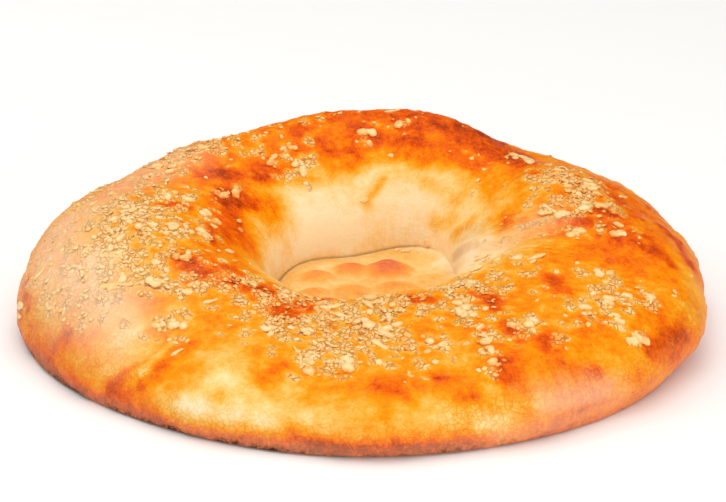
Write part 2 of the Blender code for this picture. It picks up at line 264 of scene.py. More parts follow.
# Where the garlic lies: hour angle, station, reach round the loaf and along its section, and
# how many chunks and how many grains. The patches without chunks are only grains and paste.
GARLIC_PATCHES = (
    (189, 2.09, 0.0120, 0.0060, 8, 170),
    (176, 1.90, 0.0065, 0.0055, 4, 50),
    (197, 1.91, 0.0060, 0.0050, 4, 50),
    (198, 2.22, 0.0090, 0.0040, 3, 60),
    (150, 2.08, 0.0160, 0.0060, 7, 110),
    (210, 2.05, 0.0080, 0.0050, 5, 40),
    (218, 2.22, 0.0010, 0.0010, 1, 6),
    (214, 2.35, 0.0050, 0.0035, 2, 20),
    (230, 2.39, 0.0050, 0.0040, 3, 24),
    (120, 1.63, 0.0090, 0.0065, 7, 60),
    (158, 1.64, 0.0070, 0.0035, 4, 24),
    (183, 1.68, 0.0060, 0.0040, 3, 14),
    (197, 1.75, 0.0050, 0.0050, 3, 20),
    (87, 1.73, 0.0040, 0.0050, 3, 16),
    (79, 1.87, 0.0060, 0.0050, 2, 20),
    (40, 2.02, 0.0030, 0.0040, 2, 6),
    (18, 1.99, 0.0080, 0.0080, 4, 60),
    (11, 2.15, 0.0060, 0.0050, 3, 30),
    (9, 1.96, 0.0060, 0.0060, 3, 36),
    (359, 2.11, 0.0055, 0.0070, 5, 46),
    (357, 1.86, 0.0045, 0.0060, 2, 24),
    (345, 2.03, 0.0035, 0.0030, 2, 10),
    (349, 2.23, 0.0055, 0.0050, 3, 26),
    (330, 2.26, 0.0045, 0.0030, 3, 22),
    (325, 1.81, 0.0030, 0.0110, 3, 24),
    (319, 2.39, 0.0100, 0.0060, 8, 60),
    (328, 2.48, 0.0060, 0.0040, 2, 16),
    (319, 2.67, 0.0030, 0.0040, 2, 12),
    (226, 2.13, 0.0030, 0.0030, 2, 12),
    (232, 1.97, 0.0040, 0.0050, 2, 24),
    (239, 2.03, 0.0045, 0.0035, 2, 20),
    (247, 1.86, 0.0060, 0.0090, 4, 60),
    (251, 2.19, 0.0050, 0.0030, 2, 20),
    (257, 2.13, 0.0030, 0.0040, 2, 14),
    (262, 1.97, 0.0040, 0.0050, 2, 24),
    (273, 1.72, 0.0045, 0.0090, 3, 40),
    (260, 2.37, 0.0030, 0.0070, 3, 26),
    (266, 2.39, 0.0040, 0.0030, 2, 20),
    (272, 2.11, 0.0055, 0.0060, 4, 40),
    (278, 2.05, 0.0050, 0.0050, 2, 30),
    (284, 2.32, 0.0040, 0.0040, 3, 16),
    (302, 1.88, 0.0050, 0.0070, 2, 60),
    (296, 2.13, 0.0055, 0.0045, 5, 40),
    (295, 2.33, 0.0040, 0.0050, 3, 30),
    (292, 2.49, 0.0030, 0.0070, 3, 30),
    (302, 2.35, 0.0050, 0.0040, 3, 44),
    (58, 2.55, 0.0150, 0.0090, 3, 50),
    (106, 2.50, 0.0160, 0.0100, 3, 60),
    (140, 2.62, 0.0120, 0.0090, 2, 40),
    (184, 1.86, 0.0200, 0.0080, 0, 60),
    (149, 2.20, 0.0220, 0.0120, 0, 60),
    (214, 2.19, 0.0106, 0.0068, 0, 50),
    (224, 2.06, 0.0078, 0.0057, 0, 40),
    (242, 1.93, 0.0140, 0.0090, 0, 110),
    (304, 1.94, 0.0090, 0.0080, 0, 90),
    (266, 2.30, 0.0158, 0.0070, 0, 110),
    (253, 2.11, 0.0109, 0.0080, 0, 60),
    (262, 1.93, 0.0200, 0.0060, 0, 60),
    (284, 1.95, 0.0160, 0.0060, 0, 60),
    (279, 2.48, 0.0048, 0.0036, 0, 16),
    (306, 2.48, 0.0050, 0.0044, 0, 10),
    (8, 2.03, 0.0190, 0.0130, 0, 60),
    (43, 1.69, 0.0092, 0.0089, 0, 14),
    (332, 2.59, 0.0117, 0.0081, 0, 12),
    (278, 2.26, 0.0070, 0.0033, 0, 16),
    (271, 2.11, 0.0100, 0.0060, 0, 90),
    (278, 1.99, 0.0090, 0.0050, 0, 60),
    (263, 1.88, 0.0090, 0.0040, 0, 60),
    (303, 1.96, 0.0100, 0.0080, 0, 80),
    (255, 2.12, 0.0080, 0.0050, 0, 50),
    (244, 2.01, 0.0080, 0.0050, 0, 50),
    (234, 1.98, 0.0070, 0.0050, 0, 40),
    (182, 2.15, 0.0140, 0.0060, 0, 90),
    (201, 2.26, 0.0120, 0.0050, 0, 60),
    (213, 2.18, 0.0100, 0.0060, 0, 60),
    (224, 2.19, 0.0080, 0.0040, 0, 30),
    (205, 2.39, 0.0090, 0.0040, 0, 30),
    (219, 2.51, 0.0090, 0.0030, 0, 24),
    (13, 1.97, 0.0110, 0.0070, 0, 80),
    (8, 2.12, 0.0090, 0.0070, 0, 60),
    (357, 2.00, 0.0080, 0.0070, 0, 40),
    (322, 2.39, 0.0080, 0.0050, 0, 24),
    (354, 1.55, 0.0030, 0.0160, 0, 8),
    (2, 1.45, 0.0025, 0.0140, 0, 3),
    (345, 1.60, 0.0030, 0.0150, 0, 12),
    (166, 2.42, 0.0100, 0.0060, 0, 40),
    (147, 2.20, 0.0140, 0.0060, 0, 50),
    (200, 2.45, 0.0180, 0.0080, 0, 110),
    (207, 2.64, 0.0160, 0.0070, 0, 60),
    (188, 2.58, 0.0170, 0.0080, 0, 80),
    (130, 1.86, 0.0120, 0.0070, 0, 44),
    (138, 2.02, 0.0130, 0.0060, 0, 44),
    (102, 1.98, 0.0160, 0.0050, 0, 26),
)
GRAIN_SPREAD = 0.62
PASTE_SPREAD = 0.95
GRAIN_AREA = 3.2e-6
CLUMP_LENGTH = 0.0065
CLUMP_DEPTH = 1.1
CLUMP_SEED = 52
PASTE_HEIGHT = 0.00030
PASTE_LENGTH = 0.0026
PASTE_SEED = 12
STATION_LENGTH = BREAD_RADIUS / 2
CREASE_HOURS = ((45, 0.0), (62, 1.0), (180, 1.0), (205, 0.0))
CREASE_WIDTH = 0.008
CREASE_DEPTH = 0.0004
PATH_STEPS = 4
BELL_REACHES = 4
RAGGED_LENGTH = 0.007
RAGGED_SEED = 77


def rough_field(points, length, seed, count=40):
    """A random field with no mean and a spread of 1: plane waves of about this length, each
    with its own direction and phase, added up and divided by the root of half their number."""
    rng = np.random.default_rng(seed)
    direction = rng.normal(size=(count, 3))
    direction /= np.linalg.norm(direction, axis=1, keepdims=True)
    lengths = length * rng.uniform(0.65, 1.5, count)
    phase = rng.uniform(0, math.tau, count)
    swing = np.sin(points @ (direction * (math.tau / lengths)[:, None]).T + phase)
    return swing.sum(axis=-1) / math.sqrt(count / 2)


def nearness(points, reach, path, ragged=0.0):
    """1 on a path over the loaf, falling as a bell curve with the distance from it. The path
    is hour angle and station by turns. It is followed in a few straight steps from place to
    place, and ragged makes its edge uneven."""
    hours, stations = np.reshape(path, (-1, 2)).T
    steps = np.linspace(0, len(hours) - 1, PATH_STEPS * (len(hours) - 1) + 1)
    azimuth = np.radians(np.interp(steps, np.arange(len(hours)), hours))
    station = np.interp(steps, np.arange(len(hours)), stations)
    middles = bread_surface(azimuth, station)
    margin = BELL_REACHES * reach
    low, high = middles.min(axis=0) - margin, middles.max(axis=0) + margin
    near = np.flatnonzero(np.all((points > low) & (points < high), axis=-1))
    found = points[near]
    nearest = np.full(len(found), np.inf)
    for start, end in zip(middles, [*middles[1:], middles[-1]]):
        way = end - start
        share = np.clip((found - start) @ way / max(way @ way, 1e-12), 0, 1)
        nearest = np.minimum(nearest, np.sum((found - start - share[:, None] * way) ** 2, axis=-1))
    uneven = 1 + ragged * rough_field(found, RAGGED_LENGTH + reach, RAGGED_SEED) if ragged else 1.0
    total = np.zeros(len(points))
    total[near] = np.exp(-nearest / reach**2 * np.clip(uneven, 0.2, 3.0))
    return total


def clumping(points):
    """How much denser the garlic lies here than on the whole: the exponential of a random field."""
    return np.exp(CLUMP_DEPTH * rough_field(points, CLUMP_LENGTH, CLUMP_SEED) - CLUMP_DEPTH**2 / 2)


def garlic_cover(azimuth, station):
    """The share of the crust that minced garlic covers. Each patch adds a bell curve round
    its middle, in grains to a square metre. The crowd gathers in clumps, and the share is one
    less the exponential of minus that crowd times a grain's area."""
    crowd = np.zeros_like(azimuth)
    for hour, at, reach_round, reach_along, _, count in GARLIC_PATCHES:
        radius, _ = section(np.radians(hour), np.float64(at))
        turn = (azimuth - math.radians(hour) + math.pi) % math.tau - math.pi
        around_it = turn * radius / (PASTE_SPREAD * reach_round)
        along_it = (station - at) * STATION_LENGTH / (PASTE_SPREAD * reach_along)
        peak = count / (math.tau * GRAIN_SPREAD**2 * reach_round * reach_along)
        crowd += peak * np.exp(-(around_it**2 + along_it**2) / 2)
    return 1 - np.exp(-crowd * clumping(plain_surface(azimuth, station)) * GRAIN_AREA)


def at_crease(azimuth):
    """1 at the hours where the crease behind the floor is open, fading to 0 at its ends."""
    return np.interp(np.degrees(azimuth) % 360, *zip(*CREASE_HOURS))


def creased(azimuth, station):
    """1 in the crease at the back of the floor, falling as a bell curve with the station's
    distance from it."""
    return at_crease(azimuth) * np.exp(-(((station - CREASE) / CREASE_WIDTH) ** 2))


def skin(points, azimuth, station):
    """Height of the skin's fine relief: blisters as round domes, folds as ridges and valleys,
    the shallow crease at the back of the floor, lumps of garlic paste, and a fine roughness
    that is weaker in the hollow."""
    rng = np.random.default_rng(BLISTER_SEED)
    hours = rng.uniform(0, math.tau, BLISTER_COUNT)
    middles = bread_surface(hours, rng.uniform(*BLISTER_STATIONS, BLISTER_COUNT))
    blisters = np.zeros(points.shape[:-1])
    for middle, reach in zip(middles, rng.uniform(*BLISTER_REACH, BLISTER_COUNT)):
        near = np.flatnonzero(np.abs(points[:, 0] - middle[0]) < reach)
        away = np.sum((points[near] - middle) ** 2, axis=-1) / reach**2
        dome = BLISTER_STEEPNESS * reach * np.clip(1 - away, 0, 1) ** 1.5
        blisters[near] = np.maximum(blisters[near], dome)
    folds = sum(height * nearness(points, width, path) for width, height, *path in FOLDS)
    crease = CREASE_DEPTH * creased(azimuth, station)
    lumpy = 1 + rough_field(points, PASTE_LENGTH, PASTE_SEED)
    paste = PASTE_HEIGHT * garlic_cover(azimuth, station) * lumpy
    rough = sum(height * rough_field(points, length, SKIN_SEED) for length, height in SKIN_ROUGHNESS)
    above_base = np.interp(station, (BASE_FLAT_FROM, BASE_EDGE), (1, 0))
    roughness = np.interp(station, *zip(*ROUGH_AT))
    return (blisters + folds - crease + paste) * above_base + rough * roughness


def crust_surface(azimuth, station):
    """Points of the finished crust: the loaf's surface, moved along its normal by the skin's relief."""
    points = bread_surface(azimuth, station)
    return points + outward(azimuth, station) * skin(points, azimuth, station)[:, None]


def linear(colour):
    """An sRGB hex colour as linear red, green, blue and full alpha."""
    shares = [int(colour[n : n + 2], 16) / 255 for n in (1, 3, 5)]
    return (*[s / 12.92 if s <= 0.04045 else ((s + 0.055) / 1.055) ** 2.4 for s in shares], 1.0)


def new_finish(name):
    """A material without any nodes yet."""
    finish = bpy.data.materials.new(name)
    finish.use_nodes = True
    finish.node_tree.nodes.clear()
    return finish


def add_node(finish, kind, inputs=(), stops=(), **settings):
    """A shader node with its settings. Its inputs go by name, or by place where they are a
    tuple. Each takes a value, a link, or a node, which stands for its first output in use.
    Stops are the colours of a ramp."""
    node = finish.node_tree.nodes.new("ShaderNode" + kind)
    for name, value in settings.items():
        setattr(node, name, value)
    for name, value in inputs.items() if isinstance(inputs, dict) else enumerate(inputs):
        if isinstance(value, bpy.types.Node):
            value = next(output for output in value.outputs if output.enabled)
        if isinstance(value, bpy.types.NodeSocket):
            finish.node_tree.links.new(value, node.inputs[name])
        else:
            node.inputs[name].default_value = value
    for number, (position, colour) in enumerate(stops):
        elements = node.color_ramp.elements
        element = elements[number] if number < len(elements) else elements.new(position)
        element.position = position
        element.color = linear(colour)
    return node


def make_piece(name, points, faces, finish, values):
    """A smooth mesh from its points and from arrays of faces, with its values on the points."""
    mesh = bpy.data.meshes.new(name)
    mesh.vertices.add(len(points))
    mesh.vertices.foreach_set("co", points.astype(np.float32).ravel())
    corners = np.concatenate([rows.ravel() for rows in faces]).astype(np.int32)
    sizes = np.concatenate([np.full(len(rows), rows.shape[1]) for rows in faces])
    mesh.loops.add(len(corners))
    mesh.loops.foreach_set("vertex_index", corners)
    mesh.polygons.add(len(sizes))
    mesh.polygons.foreach_set("loop_start", (np.cumsum(sizes) - sizes).astype(np.int32))
    mesh.update(calc_edges=True)
    mesh.validate()
    for value_name, value in values.items():
        attribute = mesh.attributes.new(value_name, "FLOAT", "POINT")
        attribute.data.foreach_set("value", value.astype(np.float32).ravel())
    mesh.shade_smooth()
    mesh.materials.append(finish)
    piece = bpy.data.objects.new(name, mesh)
    bpy.context.scene.collection.objects.link(piece)
    return piece


def grid_faces(rings, segments):
    """Faces of a closed grid with a pole at each end: triangles at the poles and quads between the
    rings. Point 0 is the first pole, the last point is the other, and the rings lie between them."""
    at = np.arange(segments)
    after = (at + 1) % segments
    ring = 1 + segments * np.arange(rings - 1)[:, None]
    quads = np.stack([ring + at, ring + segments + at, ring + segments + after, ring + after], axis=-1)
    last = 1 + segments * (rings - 1)
    first_cap = np.stack([np.zeros_like(at), 1 + at, 1 + after], axis=-1)
    last_cap = np.stack([np.full_like(at, last + segments), last + after, last + at], axis=-1)
    return [quads.reshape(-1, 4), first_cap, last_cap]


# The crust's grid: so many segments round the loaf, and rings from station to station, closer
# at the crease.
CRUST_SEGMENTS = 520
CRUST_RINGS = (
    (0.0, 0.95, 26),
    (0.95, 0.985, 5),
    (0.985, 1.015, 9),
    (1.015, 1.06, 5),
    (1.06, 2.0, 50),
    (2.0, 3.0, 62),
    (3.0, 4.12, 18),
    (4.12, 5.0, 9),
)
# How the crust browned. It is pale where the hollow was shielded from the fire, gold on its
# slopes, and darkest on its crest and its edge. Each named place is a reach, how much browner
# it is, and hour angle and station of the places on its path, by turns. A few named places are
# painted light: a painted shadow at the left end of the floor's crease, and painted highlights
# along three folds on the left flank.
BROWN_AT = (
    (0.0, 0.24),
    (0.9, 0.20),
    (1.0, 0.06),
    (1.3, 0.06),
    (1.5, 0.14),
    (1.7, 0.42),
    (2.0, 0.52),
    (2.5, 0.46),
    (2.85, 0.50),
    (3.2, 0.65),
    (4.0, 0.82),
    (4.3, 0.70),
    (5.0, 0.62),
)
BROWNING_AND_PAINTED_LIGHT_PLACES = (
    (0.0046, 0.55, 159, 1.65, 159, 1.56),
    (0.0026, 0.22, 156, 1.89, 148, 1.73),
    (0.0030, 0.18, 141, 1.64, 129, 1.54),
    (0.0096, 0.26, 168, 1.56, 177, 1.42, 205, 1.54),
    (0.0061, 0.22, 217, 2.01, 223, 1.92),
    (0.0031, 0.28, 104, 1.63, 94, 1.61),
    (0.0028, 0.20, 94, 1.81),
    (0.0032, 0.18, 112, 1.88, 107, 1.85),
    (0.0030, 0.22, 70, 1.71),
    (0.0032, 0.30, 66, 1.86, 62, 1.87),
    (0.0048, 0.50, 58, 1.98, 52, 2.10, 43, 2.13),
    (0.0024, 0.22, 65, 1.53),
    (0.0050, 0.15, 100, 1.94, 85, 1.97, 70, 1.94),
    (0.0046, 0.22, 5, 1.55, -3, 1.64),
    (0.0038, 0.26, 50, 1.19, 41, 1.25),
    (0.0040, 0.26, 30, 1.22, 24, 1.35),
    (0.0018, 0.14, 81, 1.41, 88, 1.26),
    (0.0027, 0.28, 346, 2.34, 345, 2.44, 344, 2.55),
    (0.0034, 0.35, 2, 2.53, -4, 2.59, -9, 2.68),
    (0.0047, 0.20, 14, 2.56),
    (0.0035, 0.28, 321, 2.11, 318, 2.22),
    (0.0052, 0.14, 321, 2.80, 324, 2.79),
    (0.0040, 0.13, 326, 2.80, 332, 2.89),
    (0.0025, 0.25, 308, 2.76),
    (0.0033, 0.28, 283, 1.93, 291, 2.02),
    (0.0026, 0.26, 302, 2.11, 301, 2.21),
    (0.0025, 0.28, 300, 2.29, 299, 2.36),
    (0.0040, 0.32, 238, 1.96, 237, 1.78),
    (0.0034, 0.28, 245, 2.06, 254, 2.00),
    (0.0037, 0.12, 250, 2.37),
    (0.0032, 0.20, 253, 2.53, 255, 2.45),
    (0.0020, 0.12, 248, 2.75),
    (0.0036, 0.22, 273, 2.55, 276, 2.58),
    (0.0026, 0.25, 285, 2.69, 287, 2.69),
    (0.0032, 0.15, 283, 2.52),
    (0.0028, 0.12, 273, 2.78),
    (0.0024, 0.12, 262, 2.63),
    (0.0021, 0.40, 192, 2.76, 199, 2.83),
    (0.0045, 0.12, 214, 2.76),
    (0.0048, 0.12, 210, 2.93),
    (0.0042, 0.20, 228, 2.95),
    (0.0026, 0.35, 230, 2.72, 228, 2.91),
    (0.0050, 0.25, 235, 2.61, 237, 2.44),
    (0.0040, 0.20, 234, 2.76),
    (0.0035, 0.20, 220, 2.35, 223, 2.33),
    (0.0037, 0.10, 233, 2.22, 237, 2.25),
    (0.0085, 0.12, 287, 2.21, 297, 2.37, 307, 2.44),
    (0.0040, 0.16, 294, 2.61, 296, 2.52),
    (0.0063, -0.30, 202, 2.35, 204, 2.29),
    (0.0076, -0.24, 243, 2.83, 246, 2.66, 253, 2.71),
    (0.0060, -0.24, 256, 2.78, 265, 2.81),
    (0.0055, -0.12, 247, 2.58),
    (0.0057, -0.15, 268, 2.82, 281, 2.91),
    (0.0038, -0.15, 289, 2.27, 288, 2.40),
    (0.0038, -0.20, 280, 2.68),
    (0.0070, -0.12, 334, 2.54, 337, 2.74),
    (0.0057, 0.30, 114, 1.71, 102, 1.70, 90, 1.72),
    (0.0060, 0.34, 82, 1.70, 68, 1.69, 58, 1.73),
    (0.0073, 0.34, 54, 1.79, 45, 1.90, 36, 1.91),
    (0.0041, 0.12, 104, 1.58, 83, 1.55, 62, 1.56, 46, 1.63),
    (0.0080, 0.24, 147, 1.80, 148, 1.62, 147, 1.46),
    (0.0076, 0.26, 166, 1.61, 176, 1.48, 184, 1.35),
    (0.0054, 0.20, 136, 1.62, 138, 1.43, 150, 1.32),
    (0.0046, 0.14, 244, 1.97, 248, 1.90, 251, 1.88),
    (0.0103, 0.12, 15, 2.35, 15, 2.50, 9, 2.54),
    (0.0083, 0.04, 359, 2.50, 351, 2.56, 344, 2.65),
    (0.0056, 0.06, 340, 2.72, 336, 2.85),
    (0.0127, 0.10, 341, 2.26, 335, 2.46, 322, 2.60),
    (0.0030, 0.22, 260, 3.15, 266, 3.18, 272, 3.19, 280, 3.32),
    (0.0062, 0.12, 208, 2.97, 213, 2.83),
    (0.0042, 0.16, 225, 3.73, 232, 3.56, 238, 3.38),
    (0.0090, -0.20, 208, 2.40, 216, 2.46, 223, 2.57),
    (0.0120, -0.12, 172, 2.50, 180, 2.35, 186, 2.20),
    (0.0066, -0.12, 227, 2.61, 231, 2.70),
    (0.0083, -0.10, 120, 1.33, 111, 1.19, 99, 1.12),
    (0.0061, -0.06, 70, 1.26, 58, 1.14),
    (0.0040, -0.14, 239, 2.90, 246, 2.86, 251, 2.84),
    (0.0032, -0.10, 255, 2.84, 261, 2.78),
    (0.0055, -0.15, 290, 3.60, 300, 3.60, 308, 3.62, 316, 3.50, 324, 3.30),
    (0.0094, 0.12, 142, 1.93, 136, 1.78, 126, 1.69),
    (0.0067, 0.16, 216, 2.04, 224, 2.01, 231, 1.96),
    (0.0045, 0.12, 245, 2.02, 248, 1.98, 251, 1.89),
    (0.0042, 0.08, 293, 2.53, 294, 2.64, 295, 2.72),
    (0.0036, 0.14, 302, 2.63, 306, 2.70, 307, 2.79),
    (0.0047, 0.10, 268, 2.53, 276, 2.52, 285, 2.50),
    (0.0080, 0.12, 206, 3.08, 212, 2.86, 217, 2.77),
    (0.0043, 0.16, 218, 3.14, 221, 3.37),
    (0.0061, 0.22, 348, 1.93, 351, 2.08, 350, 2.24),
    (0.0067, 0.14, 342, 2.16, 346, 2.29),
    (0.0068, 0.14, 43, 1.52, 33, 1.57, 12, 1.50),
    (0.0030, 0.16, 80, 1.89, 75, 1.83),
    (0.0026, 0.20, 88, 1.64, 85, 1.64),
    (0.0032, 0.20, 106, 1.52, 96, 1.50),
    (0.0041, 0.10, 136, 0.96, 114, 0.93, 79, 0.92, 56, 0.80),
    (0.0063, -0.18, 320, 1.60, 331, 1.68, 336, 1.82),
    (0.0033, -0.12, 106, 1.95, 97, 1.97, 91, 2.00),
    (0.0031, -0.18, 68, 1.74, 58, 1.76, 53, 1.80),
    (0.0058, -0.14, 347, 2.59, 342, 2.69),
    (0.0040, -0.12, 332, 2.84, 336, 2.80),
    (0.0030, -0.12, 242, 2.87, 248, 2.84),
    (0.0025, -0.10, 278, 2.81, 284, 2.86, 290, 2.92),
    (0.0072, -0.08, 187, 2.31, 199, 2.34, 210, 2.45),
    (0.0036, -0.08, 226, 2.83, 228, 2.77),
    (0.0060, 0.22, 8, 2.30, 7, 2.42),
    (0.0052, 0.16, 181, 1.57, 194, 1.51, 222, 1.72),
    (0.0080, -0.14, 196, 2.62, 204, 2.66),
    (0.0040, -0.10, 110, 1.72, 98, 1.72),
    (0.0035, 0.07, 112, 1.56, 80, 1.55, 60, 1.60),
    (0.0033, 0.12, 2, 1.90, 14, 2.09),
    (0.0030, 0.12, 352, 1.92, 351, 2.08, 358, 2.22),
    (0.0021, 0.14, 350, 2.37, 346, 2.49),
    (0.0024, 0.16, 179, 1.87, 179, 1.81),
    (0.0020, 0.20, 158, 1.66, 150, 1.60),
    (0.0020, 0.14, 212, 2.03),
    (0.0035, 0.14, 187, 1.66, 202, 1.71),
    (0.0030, 0.14, 220, 2.05, 230, 2.01),
    (0.0025, 0.16, 239, 1.93),
    (0.0026, 0.16, 121, 1.49, 108, 1.47),
    (0.0026, 0.14, 101, 1.51, 90, 1.51),
    (0.0020, 0.12, 79, 1.85, 77, 1.87),
    (0.0026, 0.12, 70, 1.57, 58, 1.60),
    (0.0036, 0.14, 42, 1.68, 31, 1.61),
    (0.0026, 0.14, 359, 1.52),
    (0.0048, 0.22, 329, 2.87, 325, 2.96),
    (0.0026, 0.10, 283, 2.53, 293, 2.67),
    (0.0026, 0.10, 268, 2.55, 272, 2.58),
    (0.0030, -0.12, 229, 2.70, 231, 2.61),
    (0.0032, -0.10, 310, 2.70, 316, 2.83),
    (0.0024, -0.10, 318, 2.53, 318, 2.69),
    (0.0026, -0.12, 296, 2.85),
    (0.0026, 0.24, 161, 1.64, 153, 1.55, 151, 1.48),
    (0.0025, -0.12, 167, 1.61, 161, 1.53),
    (0.0026, 0.25, 239, 1.95),
    (0.0029, 0.20, 248, 2.09, 252, 2.08),
    (0.0030, 0.15, 255, 1.76),
    (0.0030, 0.13, 123, 1.56, 116, 1.46, 106, 1.44, 99, 1.48),
    (0.0030, 0.11, 77, 1.46, 64, 1.43, 53, 1.40, 44, 1.39),
    (0.0026, 0.20, 202, 3.90, 208, 3.75, 214, 3.51),
    (0.0044, -0.15, 34, 0.90),
    (0.0024, 0.14, 132, 1.60, 126, 1.58),
    (0.0028, 0.14, 213, 2.03, 219, 2.06, 223, 2.06),
    (0.0038, 0.12, 195, 1.68, 208, 1.76),
    (0.0040, 0.12, 301, 2.02, 302, 2.05, 307, 2.14),
    (0.0032, 0.14, 354, 2.00, 357, 2.14, 357, 2.22),
    (0.0031, 0.12, 342, 1.87, 347, 1.94, 351, 2.03),
    (0.0033, 0.12, 319, 2.68, 320, 2.82, 322, 2.87),
    (0.0024, 0.14, 292, 2.51, 292, 2.63),
    (0.0030, -0.12, 238, 2.49, 244, 2.46, 249, 2.41),
    (0.0024, -0.12, 245, 2.93, 252, 2.90, 258, 2.91),
    (0.0024, -0.12, 294, 2.81, 296, 2.91),
    (0.0034, -0.10, 314, 1.74, 321, 1.82, 327, 1.93),
    (0.0045, -0.14, 210, 2.90, 218, 2.87, 224, 2.91, 228, 2.89),
    (0.0040, -0.12, 204, 2.74, 211, 2.74),
    (0.0032, -0.12, 146, 1.91, 141, 1.78),
    (0.0043, 0.26, 160, 1.63, 154, 1.58, 150, 1.51),
    (0.0043, 0.14, 134, 1.60, 126, 1.68, 121, 1.67),
    (0.0044, 0.16, 213, 2.03, 214, 1.98, 218, 2.00),
    (0.0064, 0.13, 166, 1.45, 172, 1.38, 177, 1.31),
    (0.0062, 0.12, 140, 1.34, 142, 1.24, 141, 1.15),
    (0.0030, 0.24, 293, 2.55, 292, 2.62),
    (0.0038, 0.14, 299, 2.43, 300, 2.37),
    (0.0035, 0.10, 304, 2.48, 302, 2.54),
    (0.0047, 0.12, 354, 2.43, 350, 2.46, 346, 2.51),
    (0.0062, 0.10, 8, 2.24, 5, 2.29, 0, 2.32),
    (0.0026, 0.35, 239, 1.95, 240, 1.96),
    (0.0030, 0.32, 248, 2.09, 250, 2.07, 252, 2.08),
    (0.0038, 0.28, 255, 1.77),
    (0.0025, 0.22, 268, 2.08, 268, 2.11),
    (0.0025, 0.25, 284, 2.00, 286, 2.01),
    (0.0025, 0.20, 262, 2.10),
    (0.0039, 0.15, 304, 2.09, 304, 2.13),
    (0.0041, 0.18, 182, 1.91, 180, 1.85),
    (0.0046, 0.12, 224, 1.93, 227, 1.91, 232, 1.94),
    (0.0042, 0.12, 188, 1.64, 198, 1.68),
    (0.0035, -0.12, 107, 1.48),
    (0.0047, -0.10, 73, 1.49, 70, 1.46),
    (0.0027, -0.14, 88, 1.74),
    (0.0064, -0.10, 314, 1.69, 317, 1.71),
    (0.0031, 0.16, 319, 2.69, 319, 2.75),
    (0.0039, 0.12, 2, 1.92, 2, 2.01),
    (0.0043, 0.14, 356, 2.16, 353, 2.20),
    (0.0038, 0.12, 0, 1.57, -6, 1.59),
    (0.0038, -0.16, 319, 2.51, 319, 2.55),
    (0.0027, 0.16, 294, 2.26),
    (0.0069, 0.08, 337, 2.51, 337, 2.74, 332, 2.88),
    (0.0045, -0.12, 284, 2.74, 288, 2.83, 291, 2.93),
    (0.0036, -0.10, 231, 2.76, 237, 2.84),
    (0.0022, 0.15, 262, 3.26, 268, 3.29, 275, 3.46, 282, 3.75, 288, 3.75),
    (0.0040, -0.10, 61, 1.70, 54, 1.74, 47, 1.78),
    (0.0019, 0.15, 80, 1.43, 83, 1.37, 87, 1.32, 89, 1.28),
    (0.0038, -0.14, 134, 1.08, 126, 1.07, 138, 1.03),
    (0.0037, -0.10, 174, 1.27, 176, 1.21),
    (0.0060, -0.08, 4, 1.72, -6, 1.66, -14, 1.60),
    (0.0027, 0.20, 222, 2.11, 228, 2.06, 233, 2.01),
    (0.0042, -0.13, 323, 2.89, 319, 2.94),
    (0.0042, -0.12, 331, 2.90, 334, 2.84),
    (0.0039, -0.08, 314, 3.24, 317, 3.09),
    (0.0050, 0.35, 259, 0.61, 273, 0.58),
    # Painted shadow at the left end of the floor's crease.
    (0.0045, 0.10, 178, 0.90, 160, 0.90, 143, 0.90),
    (0.0110, -0.08, 345, 2.95, 330, 3.05),
    (0.0070, -0.05, 140, 1.15, 152, 1.12),
    (0.0040, 0.09, 1, 1.54, 5, 1.66),
    (0.0060, -0.04, 296, 3.50, 311, 3.35),
    # Painted highlights: pale streaks along three folds on the left flank.
    (0.0016, -0.16, 216, 2.67, 216, 2.56, 217, 2.48),
    (0.0016, -0.16, 224, 2.65, 225, 2.58, 226, 2.47),
    (0.0013, -0.34, 232, 2.75, 233, 2.58, 233, 2.47),
    (0.0036, -0.10, 346, 1.92, 346, 2.02, 348, 2.10),
    (0.0050, -0.12, 351, 1.92, 352, 2.02, 354, 2.10),
    (0.0030, -0.05, 19, 1.05, -2, 1.28, -7, 1.53),
    (0.0026, 0.20, 256, 1.84),
    (0.0056, 0.07, 127, 1.52, 115, 1.46),
    (0.0040, -0.08, 238, 2.92, 243, 2.96),
    (0.0040, -0.09, 250, 2.97, 246, 2.96),
    (0.0034, -0.12, 271, 2.72, 270, 2.66),
    (0.0032, -0.12, 276, 2.74),
    (0.0028, -0.14, 290, 2.65),
    (0.0034, -0.12, 297, 2.81),
    (0.0026, 0.12, 267, 2.47, 265, 2.46),
    (0.0024, 0.12, 280, 2.22),
    (0.0028, 0.10, 279, 2.56, 278, 2.51),
    (0.0024, 0.14, 280, 2.86),
    (0.0026, 0.10, 255, 2.79, 261, 2.82),
    (0.0026, 0.16, 227, 2.96, 230, 2.95, 233, 2.89),
    (0.0020, 0.12, 292, 2.52),
    (0.0024, 0.12, 299, 2.44, 305, 2.53),
    (0.0034, 0.08, 216, 2.73, 220, 2.64),
    (0.0034, 0.08, 228, 2.49, 233, 2.44),
    (0.0038, 0.07, 198, 2.45, 202, 2.35),
    (0.0030, -0.20, 218, 1.97, 225, 1.97),
    (0.0035, 0.15, 184, 1.95, 182, 1.85),
    (0.0025, 0.10, 129, 1.68, 122, 1.69, 121, 1.55),
    (0.0025, 0.14, 262, 2.11),
    (0.0024, 0.18, 279, 2.21),
    (0.0026, 0.16, 303, 2.46, 306, 2.48),
    (0.0025, 0.16, 313, 2.44, 317, 2.49),
    (0.0028, 0.12, 359, 2.14, 356, 2.20),
    (0.0042, 0.12, 24, 1.86, 18, 1.89),
    (0.0055, 0.10, 18, 2.16, 16, 2.24),
    (0.0040, -0.10, 284, 2.86, 290, 2.97, 292, 2.86),
    (0.0026, -0.12, 290, 2.67),
    (0.0050, -0.09, 239, 2.47, 246, 2.40, 252, 2.35),
    (0.0036, -0.08, 279, 2.75, 280, 2.96),
    (0.0036, -0.08, 262, 2.65, 263, 2.85),
    (0.0040, -0.08, 310, 2.71, 312, 2.81),
